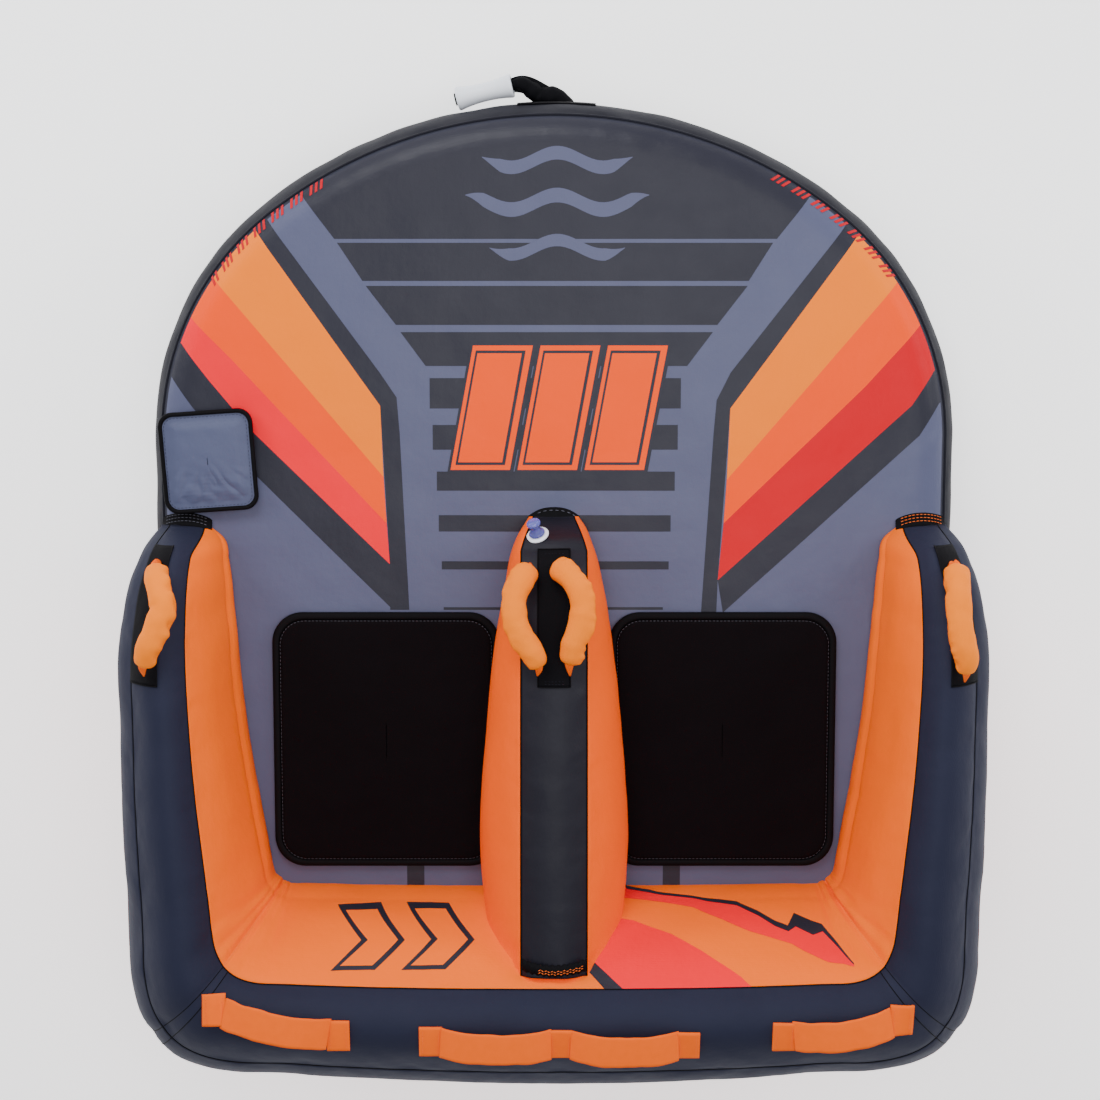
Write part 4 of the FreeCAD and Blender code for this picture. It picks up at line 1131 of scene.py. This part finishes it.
# each padded grip: its centre line, radius at stations and the side (1 or -1) where its cover closes
GRIPS = {
    "divider_left_handle": ([(-44, 43, 432), (-62, 17, 460), (-70, -21, 478), (-58, -64, 487), (-35, -100, 490),
    (-27, -120, 488)], 1, 411),
    "divider_right_handle": ([(6, 47, 432), (28, 33, 455), (49, -4, 478), (47, -41, 486), (33, -84, 489),
    (27, -114, 487)], -1, 423),
    "left_arm_handle": ([(-697, 44, 446), (-684, 14, 488), (-675, -14, 508), (-684, -44, 520), (-699, -80, 525),
    (-710, -112, 520)], -1, 437),
    "right_arm_handle": ([(703, 44, 450), (700, 14, 488), (700, -20, 508), (702, -57, 520), (711, -98, 524),
    (713, -124, 517)], 1, 449),
}
GRIP_R, GRIP_FLATTENING = 22.0, 0.90
STRAP_ENDS = {
    "divider_left_handle": ((-42, 50, 406), (-29, -140, 468)),
    "divider_right_handle": ((8, 55, 404), (28, -140, 468)),
    "left_arm_handle": ((-695, 50, 384), (-713, -136, 492)),
    "right_arm_handle": ((703, 50, 386), (714, -146, 493)),
}


def padded_grips():
    for name, (line, side, seed) in GRIPS.items():
        count, sides = 96, 48
        path = smooth_path(line, count)
        _, across, up = frames_along(path, (0, 0, 1))
        t = np.linspace(0, 1, count)
        run = t * np.sum(np.linalg.norm(np.diff(path, axis=0), axis=1))
        body = np.clip(np.minimum(0.25 + t / 0.08, (1 - t) / 0.2), 0, 1)
        radius = GRIP_R * (0.52 + 0.48 * np.sqrt(1 - (1 - body) ** 2))
        radius = radius * (1 + 0.07 * wave(run, run * 0, 70, seed, 2))
        angle = np.linspace(0, 2 * math.pi, sides, endpoint=False)
        rr, aa = np.broadcast_to(run[:, None], (count, sides)), np.broadcast_to(angle[None, :], (count, sides))
        # the cover's lapped edge runs along one side, as loose folds
        lap = np.exp(-((np.angle(np.exp(1j * (aa - (0.35 if side > 0 else math.pi - 0.35))))) / 0.42) ** 2)
        folds = wave(rr, aa * 8, 34, seed + 1, 2)
        bulge = 1 + 0.05 * wave(rr, aa * 20, 46, seed + 2, 2) + lap * (0.06 + 0.17 * folds)
        groove = np.exp(-((np.angle(np.exp(1j * (aa - math.pi * 0.62)))) / 0.05) ** 2)
        bulge = bulge - 0.018 * groove
        r = radius[:, None] * bulge
        pts = beside(path, across, r * np.cos(aa)) + up[:, None, :] * (r * np.sin(aa) * GRIP_FLATTENING)[...,
            None]
        cap0 = path[0] + (pts[0] - path[0]) * 0.55 + (path[0] - path[1]) * 0.5
        cap0b = path[0] + (pts[0] - path[0]) * 0.02 - (path[1] - path[0]) * 0.1
        cap1 = path[-1] + (pts[-1] - path[-1]) * 0.6 + (path[-1] - path[-2]) * 1.2
        cap1b = path[-1] + (pts[-1] - path[-1]) * 0.02 + (path[-1] - path[-2]) * 1.6
        pts = np.concatenate([cap0b[None], cap0[None], pts, cap1[None], cap1b[None]])
        obj = grid_object(name + "_padded_grip", pts, M["grip"], close=True, body=name)
        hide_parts(name + "_grip")
        # the webbing it is threaded on, from one sewn end to the other
        first, last = STRAP_ENDS[name]
        inner = [line[0], line[2], line[4], line[5]]
        strap = smooth_path([first, *inner, last], 60)
        across = frames_along(strap, (0, 0, 1))[1]
        st = np.linspace(0, 1, 60)
        half = 10.5 * (0.12 + 0.88 * np.clip(np.minimum(st / 0.1, (1 - st) / 0.16), 0, 1))
        ribbon = beside(strap, across, half[:, None] * np.linspace(-1, 1, 7)[None, :])
        web = grid_object(name + "_webbing", ribbon, M["web"], body=name)
        thicken(web, 2.4, 0)
        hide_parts(name + "_strap")


def patch_grid(plain, rows_mask, low, high, lift):
    """Part of a cover's own grid, as a cloth laid on it."""
    return plain[rows_mask, low:high] + normals_up(plain)[rows_mask, low:high] * lift


def normals_up(points):
    n = normals_of(points)
    return n * np.sign(n[..., 2:3] + 1e-9)


def handle_patches():
    top = DIVIDER_GRIDS["top"]
    rows = (top[:, 0, 1] < 72) & (top[:, 0, 1] > -163)
    cols = top.shape[1]
    half = int(cols * 0.27)
    mid = cols // 2
    grid = patch_grid(top, rows, mid - half, mid + half, 1.5)
    patch = grid_object("divider_handle_pad", grid, M["patch"])
    thicken(patch, 2.2, 0)
    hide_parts("divider_handle_patch")
    edge = patch_grid(top, rows, mid - half, mid + half, 2.9)
    border = np.concatenate([edge[0], edge[:, -1], edge[-1][::-1], edge[::-1, 0]])
    tube_object("divider_handle_pad_edge", border, 1.1, M["trim"], 6)
    for k, y in ((0, -150.0), (1, -156.0), (2, 64.0)):
        i = np.argmin(np.abs(edge[:, 0, 1] - y))
        line = edge[i, 3:-3] + np.array((0, 0, 0.7))
        stitch_run("divider_handle_pad_stitch_%d" % k, line, M["thread_dark"], 3.6, 2.4, 0.5)
    side_rows = (FRAMES[:, 1] < 74) & (FRAMES[:, 1] > -158) & (np.abs(FRAMES[:, 0]) > 560)
    for name, sign in (("left", -1), ("right", 1)):
        rows = side_rows & (FRAMES[:, 0] * sign > 0)
        grid = patch_grid(BOLSTER["top"], rows, 28, 64, 1.4)
        patch = grid_object(name + "_arm_handle_pad", grid, M["patch"])
        thicken(patch, 2.0, 0)
        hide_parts(name + "_arm_handle_patch")
        edge = patch_grid(BOLSTER["top"], rows, 28, 64, 2.6)
        if edge[0, 0, 1] < edge[-1, 0, 1]:
            edge = edge[::-1]
        line = np.concatenate([edge[:, 0], edge[-1]])
        tube_object(name + "_arm_handle_pad_edge", line, 1.1, M["trim"], 6)


# ------------------------------------------------------------------ rear webbing handles
TABS = ((-592, -713), (-376, -757), (-215, -767), (12, -772), (234, -775), (401, -760), (605, -731))
LOOPS = (("rear_left_loop", 0, 1), ("rear_centre_left_loop", 2, 3), ("rear_centre_right_loop", 3, 4),
    ("rear_right_loop", 5, 6))


def facet_tree(grid):
    return BVHTree.FromPolygons([tuple(v) for v in grid.reshape(-1, 3)], grid_faces(*grid.shape[:2]))


CROWN = facet_tree(BOLSTER["top"])


def bolster_top_at(x, y):
    """Height of the bolster's top cover above a place in plan, and the way out of it."""
    hit, normal, _, _ = CROWN.ray_cast(Vector((x, y, 900.0)), Vector((0, 0, -1)))
    if hit is None:
        return np.array((x, y, 560.0)), np.array((0.0, 0.0, 1.0))
    normal = normal if normal.z > 0 else -normal
    return np.array(hit), np.array(normal)


def webbing_strip(name, centre, across, half, body, node=None, thick=2.3, material=None):
    """A flat woven strap: rows of points along it, as wide as across says at each."""
    j = np.linspace(-1, 1, 13)
    cup = 0.5 * (1 - j**2)
    up = unit(np.cross(np.gradient(centre, axis=0), across))
    up *= np.sign(up[:, 2:3] + 1e-9)
    pts = beside(centre, across, half[:, None] * j[None, :]) + up[:, None, :] * cup[None, :, None]
    obj = grid_object(name, pts, material or M["web"], body=body)
    thicken(obj, thick, 0)
    if node:
        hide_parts(node)
    return obj


def rear_handles():
    for i, (x, y) in enumerate(TABS):
        xs = np.linspace(x - 20, x + 20, 14)
        centre, across = [], []
        slope = bolster_top_at(x + 18, y)[0] - bolster_top_at(x - 18, y)[0]
        for px in xs:
            p, n = bolster_top_at(px, y)
            centre.append(p + n * 3.6)
            across.append(unit(np.cross(n, unit(slope))))
        centre, across = np.array(centre), np.array(across)
        tab = webbing_strip("rear_tab_%d" % i, centre, across, np.full(14, 28.5), "tube", None, 5.0)
        n = bolster_top_at(x, y)[1]
        for k, row in enumerate(([2], [-3])):
            line = centre[row] + across[row] * np.linspace(-25, 25, 12)[:, None] + n * 3.4
            stitch_run("rear_tab_%d_stitch_%d" % (i, k), line, M["thread"], 3.6, 2.2, 0.5)
    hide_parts("rear_handle_tabs")
    for name, i, k in LOOPS:
        (xa, ya), (xb, yb) = TABS[i], TABS[k]
        a, na = bolster_top_at(xa, ya)
        b, nb = bolster_top_at(xb, yb)
        along = unit(b - a)
        a, b = a + along * 17, b - along * 17
        out = unit(na + nb)
        t = np.linspace(0, 1, 72)
        ends = smooth(t, 0.1, 0.3) * smooth(1 - t, 0.1, 0.3)
        lift = 9.0 + 26.0 * (1 - np.abs(2 * t - 1) ** 2.6) + 1.2 * wave(t * 220, t * 0, 90, 500 + i, 2) * ends
        bow = (1.5 + 2.0 * wave(t * 220, t * 0 + 40, 130, 530 + i, 2)) * np.sin(math.pi * t) - 0.5
        out = (out + 2 * np.array((0.0, 0.0, 1.0))) / 3
        down = np.cross(along, out)
        centre = a + (b - a) * t[:, None] + out * lift[:, None] + down * bow[:, None]
        lean = unit(np.cross(np.gradient(centre, axis=0), out))
        half = 28.0 + 0.8 * wave(t * 200, t * 0, 60, 510 + i, 2)
        webbing_strip(name + "_strap", centre, lean, half, name + "_body", name)


# ------------------------------------------------------------------ tow loop
def tow_pieces():
    # the sleeve's line is the line that it spins about on the strap
    centre, half = np.array((-126.5, 880.0, 122.0)), 52.0
    axis = np.array((-0.970033, -0.230503, -0.076834))
    right, left = centre - axis * half, centre + axis * half
    s = np.linspace(-1, 1, 60)
    waist = 17.0 + 6.0 * np.abs(s) ** 2.2
    r = waist - 2.4 * smooth(np.abs(s), 0.94, 1.0)
    ring = tube_points([centre + axis * half * k for k in s], r, 48)
    bore_at = np.array((1.0, 0.985, 0.9, 0.2, -0.2, -0.9, -0.985, -1.0))
    bore_r = [19.0, 15.0, 13.8, 13.5, 13.5, 13.8, 15.0, 19.0]
    lip = tube_points([centre + axis * half * k for k in bore_at], bore_r, 48)
    pts = np.concatenate([ring, lip, ring[:1]])
    spool = grid_object("tow_sleeve_spool", pts, M["white"], close=True, body="tow_sleeve_body")
    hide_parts("tow_sleeve")
    up = np.array((0.0, 0.0, 1.0))
    root = np.array((24.0, 862.0, 112.0))
    line = [
        root, root + (-28, 14, 3), right - axis * 12 + (0, 3, 2), right + axis * 8, centre, left - axis * 4,
        left + axis * 2 - up * 5, left + axis * 2 - up * 20, left - axis * 4 - up * 30, centre - up * 31,
        right - up * 31, root + (-28, 10, -30), root + (0, 0, -26)]
    path = smooth_path(line, 160)
    level = np.array((-axis[1], axis[0], 0.0))
    tangent = unit(np.gradient(path, axis=0))
    across = unit(level - tangent * (tangent @ level)[:, None])
    strap = webbing_strip("tow_loop_strap", path, across, np.full(160, 11.0), "tow_loop", "tow_strap", 3.0,
        M["black_web"])
    # bunched sleeve of the same webbing where the loop leaves the cover
    bulk = smooth_path([
        root + (8, -8, 2), root + (-14, 6, 6), root + (-50, 12, 4),
        right - axis * 12 + (0, 1, 3), right - axis * 2 + (0, 1, 1)], 50)
    t = np.linspace(0, 1, 50)
    radius = 9.0 + 8.0 * np.sin(math.pi * np.clip(t * 1.05, 0, 1)) ** 0.8
    pts = tube_points(bulk, radius * (1 + 0.12 * wave(t * 110, t * 0, 26, 520, 2)), 26)
    swell = 1 + 0.10 * wave((t * 110)[:, None], np.linspace(0, 60, 26)[None, :], 30, 521, 2)
    pts = bulk[:, None, :] + (pts - bulk[:, None, :]) * swell[..., None]
    wrap = grid_object("tow_loop_wrap", pts, M["black_web"], close=True, body="tow_loop")
    band = np.array([side_ring(a, 2.2) for a in np.linspace(-34, 20, 22)])
    keep = (band[0, :, 1] > 800) & (np.abs(band[0, :, 0] - 5) < 74)
    patch = grid_object("tow_anchor_patch", band[:, keep], M["patch"])
    thicken(patch, 2.0, 0)
    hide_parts("tow_patch")


# ------------------------------------------------------------------ hems, valves, baffles and zipper
def hem_pieces():
    for name, sign in (("left", -1), ("right", 1)):
        half = len(FRAMES) // 2
        frames = FRAMES[:half] if sign < 0 else FRAMES[half:][::-1]
        inner_x, width = frames[0][0], frames[0][4]
        ring = np.array([
            (inner_x + sign * (-4 + k * (width + 8)), 98.0 + 14.0 * math.sin(math.pi * k) ** 0.7)
            for k in np.linspace(0, 1, 40)])
        rows = []
        for dy, lift in ((-16.0, 13.0), (-9.0, 7.5), (-3.0, 3.4), (2.5, 2.6), (6.0, 1.6), (6.6, 0.6)):
            x, y = ring[:, 0], ring[:, 1] + dy
            rows.append(on_deck(x, y, lift))
        hem = grid_object(name + "_arm_front_hem", np.array(rows), M["trim"])
        thicken(hem, 1.2, 0)
        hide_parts(name + "_arm_hem")
        thread = M["thread"] if sign > 0 else M["thread_grey"]
        for k, (dy, lift) in enumerate(((4.0, 3.0), (-1.5, 4.4), (-7.0, 8.0))):
            x, y = ring[3:-3, 0], ring[3:-3, 1] + dy
            stitch_run("%s_arm_hem_stitch_%d" % (name, k), on_deck(x, y, lift), thread, 5.0, 2.2, 0.75)
    k = np.linspace(-1, 1, 44)
    x, y = k * 47.0, 126.0 - 17.0 * np.abs(k) ** 2.4
    rows = []
    for dy, lift in ((-20.0, 12.0), (-12.0, 6.5), (-5.0, 3.2), (0.0, 2.4), (3.0, 1.4), (3.4, 0.6)):
        rows.append(on_deck(x, y + dy, lift))
    hem = grid_object("divider_nose_hem", np.array(rows), M["trim"])
    thicken(hem, 1.2, 0)
    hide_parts("divider_front_hem")
    stitch_run("divider_nose_stitches", on_deck(x[6:], y[6:] - 1.5, 3.2), M["thread_grey"], 6.0, 5.0, 0.9)


def divider_tail():
    """The divider's sewn rear end: a bound hem with two rows of orange stitches, down onto the backrest."""
    k = np.linspace(-1, 1, 60)
    x = 56.0 * k
    ys = -655.0 - 8.0 * np.cos(k * math.pi / 2) - 1.5 * np.sin(k * 34.0)
    base = np.interp(np.abs(x), [0, 40, 58], [522.0, 517.0, 507.0])
    rows = []
    for dy, lift in ((16.0, 2.0), (9.0, 4.6), (2.0, 4.4), (-4.0, 1.0), (-7.0, -6.0), (-7.5, -14.0)):
        rows.append(np.stack([x, ys + dy, base + lift], axis=1))
    hem = grid_object("divider_tail_hem", np.array(rows), M["trim"])
    thicken(hem, 1.4, 0)
    keep = x > -30
    for i, dy in enumerate((5.5, 1.0)):
        stitch_run("divider_tail_stitches_%d" % i, np.stack([x, ys + dy, base + 5.4], axis=1)[keep],
            M["thread"], 4.4, 2.0, 0.8)


def valves():
    seat, axis = np.array((-27.0, 88.0, 357.0)), unit(np.array((-0.26, 0.80, 0.54)))
    for part in ("left", "top"):
        grid = DIVIDER_GRIDS[part]
        hit = facet_tree(grid).ray_cast(Vector(seat + axis * 90), Vector(-axis), 150.0)[0]
        if hit is not None and (np.array(hit) - seat) @ axis > -30:
            seat = np.array(hit) + axis * 2.5
            break

    def lathe(name, profile, material, body, node, at=seat, way=axis):
        side = unit(np.cross(way, (1.0, 0.0, 0.0)))
        other = np.cross(way, side)
        a = np.linspace(0, 2 * math.pi, 48, endpoint=False)
        around = np.cos(a)[:, None] * side + np.sin(a)[:, None] * other
        rows = [at + way * z + r * around for r, z in profile]
        obj = grid_object(name, np.array(rows), material, close=True, body=body)
        if node:
            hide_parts(node)
        return obj
    lathe("divider_valve_ring", [(11.2, -26), (11.2, 3.0), (12.5, 3.6), (16, 3.2), (19.5, 2.2), (20.4, 1.0),
        (20.2, -0.6), (17, -2.0), (13.0, -2.6), (13.0, -26), (11.2, -26)], M["white"], "tube",
        "divider_valve_flange")
    lathe("divider_valve_stopper", [(0.1, -14), (8.4, -14), (9.4, -12), (9.6, 2.5), (10.4, 4.4), (14.0, 5.0),
        (14.6, 6.4), (12.6, 9.2), (8.6, 11.4), (6.6, 14.5), (6.2, 19), (6.8, 22.5), (10.0, 24.6), (12.3, 26.6),
        (12.6, 29.4), (11.8, 31.4), (9.0, 32.4), (0.1, 32.6)], M["clear"], "divider_plug", "divider_valve_plug")
    x, y, top = -614.0, 216.0, DECK_Z + 0.5
    up = np.array((0.0, 0.0, 1.0))
    base = np.array((x, y, top))
    lathe("deck_valve_ring", [(16, -26), (16, 2.4), (17.5, 3.1), (24, 2.9), (28, 2.2), (29, 1.0), (28.6, 0.1),
        (19.3, -0.3), (19.0, -25.8), (16, -26)], M["white"], "tube", "deck_valve_flange", base,
        up)
    lathe("deck_valve_core", [(9.2, -19), (9.2, 2.0), (10.0, 2.7), (14.0, 2.8), (14.9, 2.0), (14.9, -18.6),
        (14.0, -19), (9.2, -19)], M["white"], "tube", "deck_valve_insert", base, up)
    lathe("deck_valve_lid", [(0.1, -5.6), (7.6, -5.6), (8.1, -4.8), (8.1, 3.4), (20.4, 3.7), (21.4, 4.6),
        (21.4, 7.2), (20.2, 8.4), (14.0, 8.9), (4.0, 9.0), (0.1, 9.0)], M["lid"], "deck_valve_cap_body",
        "deck_valve_cap", base, up)
    bar = []
    for k in np.linspace(-1, 1, 20):
        w = 2.2 * math.sqrt(max(1 - k**8, 0.02))
        bar.append([(x + 14 * k, y - w, top + 8.7), (x + 14 * k, y - w * 0.8, top + 11.2),
            (x + 14 * k, y + w * 0.8, top + 11.2), (x + 14 * k, y + w, top + 8.7)])
    grip = grid_object("deck_valve_lid_grip", np.array(bar), M["lid"], close=True, body="deck_valve_cap_body")


def inner_pieces():
    """The baffles welded inside the deck's bladder."""
    first = None
    for i, x in enumerate((-480.0, -240.0, 0.0, 240.0, 480.0)):
        ys = np.linspace(REAR_Y + 60, 820, 60)
        ys = ys[edge_distance(np.full(60, x), ys) > 50]
        z = np.linspace(22, 214, 12)
        sag = 2.0 * wave(ys[:, None], z[None, :], 90, 600 + i, 2)
        pts = np.stack(np.broadcast_arrays(x + sag, ys[:, None], z[None, :]), axis=2)
        web = grid_object("deck_baffle_%d" % i, pts, M["vinyl"])
        thicken(web, 1.4, 0)
        first = first or web
    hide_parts("deck_bladder_baffles")


BOX_FACES = ((0, 1, 3, 2), (4, 6, 7, 5), (0, 2, 6, 4), (1, 5, 7, 3), (0, 4, 5, 1), (2, 3, 7, 6))


def zipper():
    rear, z = REAR_Y - 0.5, 118.0
    xs = np.linspace(-508, 508, 120)
    prof = np.linspace(-15, 15, 9)
    x, dz = np.broadcast_arrays(xs[:, None], prof[None, :])
    pts = np.stack([x, rear - 1.2 - 0.25 * wave(x, dz, 60, 610, 2), z + dz], axis=2)
    tape = grid_object("zipper_cloth_tape", pts, M["trim"])
    thicken(tape, 1.0, 0)
    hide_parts("zipper_tape")
    verts, faces = [], []
    for k in range(330):
        cx, s = -499 + k * 3.025, 1 if k % 2 else -1
        base = len(verts)
        for dx in (-0.95, 0.95):
            for dy in (0.0, -2.4):
                for dz in (-0.6 * s, 3.2 * s):
                    verts.append((cx + dx, rear - 1.8 + dy, z + dz))
        faces += [tuple(base + q for q in f) for f in BOX_FACES]
    teeth = mesh_object("zipper_teeth", verts, faces, M["zipper"], False)
    for node in ("zipper_slider", "zipper_pull"):
        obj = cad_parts[node]
        obj.data.materials.clear()
        obj.data.materials.append(M["zipper"])
        bevel = obj.modifiers.new("soft_edges", "BEVEL")
        bevel.width, bevel.segments = 0.0004, 2


deck_print(DECK)
rim_hatch(DECK)
backrest_print(BOLSTER["inner"])
outer_print(BOLSTER["outer"])
seat_pads()
valve_flap()
padded_grips()
handle_patches()
rear_handles()
tow_pieces()
hem_pieces()
divider_tail()
valves()
inner_pieces()
zipper()


# ------------------------------------------------------------------ floor, light and camera
def studio():
    bpy.ops.mesh.primitive_plane_add(size=40, location=(0, 0, -0.002))
    floor = bpy.context.object
    floor.name = "floor"
    m = Nodes("floor_paper")
    grain = m.spread(m.noise(30.0, 3.0), 0, 1)
    m.put("Base Color", m.mix(grain, (0.93, 0.93, 0.94, 1), (0.95, 0.95, 0.955, 1)))
    m.put("Roughness", 0.9)
    m.put("Emission Color", (1.0, 1.0, 1.0, 1))
    m.put("Emission Strength", 1.0)
    floor.data.materials.append(m.mat)
    world = bpy.data.worlds.new("soft_sky")
    bpy.context.scene.world = world
    world.use_nodes = True
    world.node_tree.nodes["Background"].inputs[0].default_value = (0.95, 0.97, 1.0, 1)
    world.node_tree.nodes["Background"].inputs[1].default_value = 0.75

    def area(name, location, target, size, power):
        light = bpy.data.lights.new(name, "AREA")
        light.shape, light.size, light.energy = "DISK", size, power
        obj = bpy.data.objects.new(name, light)
        bpy.context.scene.collection.objects.link(obj)
        obj.location = location
        obj.rotation_mode = "QUATERNION"
        obj.rotation_quaternion = (Vector(target) - Vector(location)).to_track_quat("-Z", "Y")
    area("key_light", (-0.9, 3.4, 3.0), (0, 0, 0.2), 2.2, 105)
    area("top_light", (0.4, 0.4, 4.2), (0, 0, 0.2), 2.6, 60)
    area("right_light", (3.2, 1.4, 2.0), (0, 0, 0.3), 1.4, 48)
    area("left_light", (-3.0, 1.9, 1.8), (0, 0, 0.3), 1.4, 38)


def camera():
    cam = bpy.data.cameras.new("photo_camera")
    cam.lens, cam.sensor_width = 80.0, 36.0
    obj = bpy.data.objects.new("photo_camera", cam)
    bpy.context.scene.collection.objects.link(obj)
    tilt, distance = math.radians(8.0), 4.474
    target = Vector((-0.007, 0.05, 0.24))
    away = Vector((0.0, math.sin(tilt), math.cos(tilt)))
    up = Vector((0.0, math.cos(tilt), -math.sin(tilt)))
    right = up.cross(away)
    turn = Matrix((right, up, away)).transposed().to_4x4()
    obj.matrix_world = Matrix.Translation(target + away * distance) @ turn
    cam.clip_end = 50
    bpy.context.scene.camera = obj


studio()
camera()
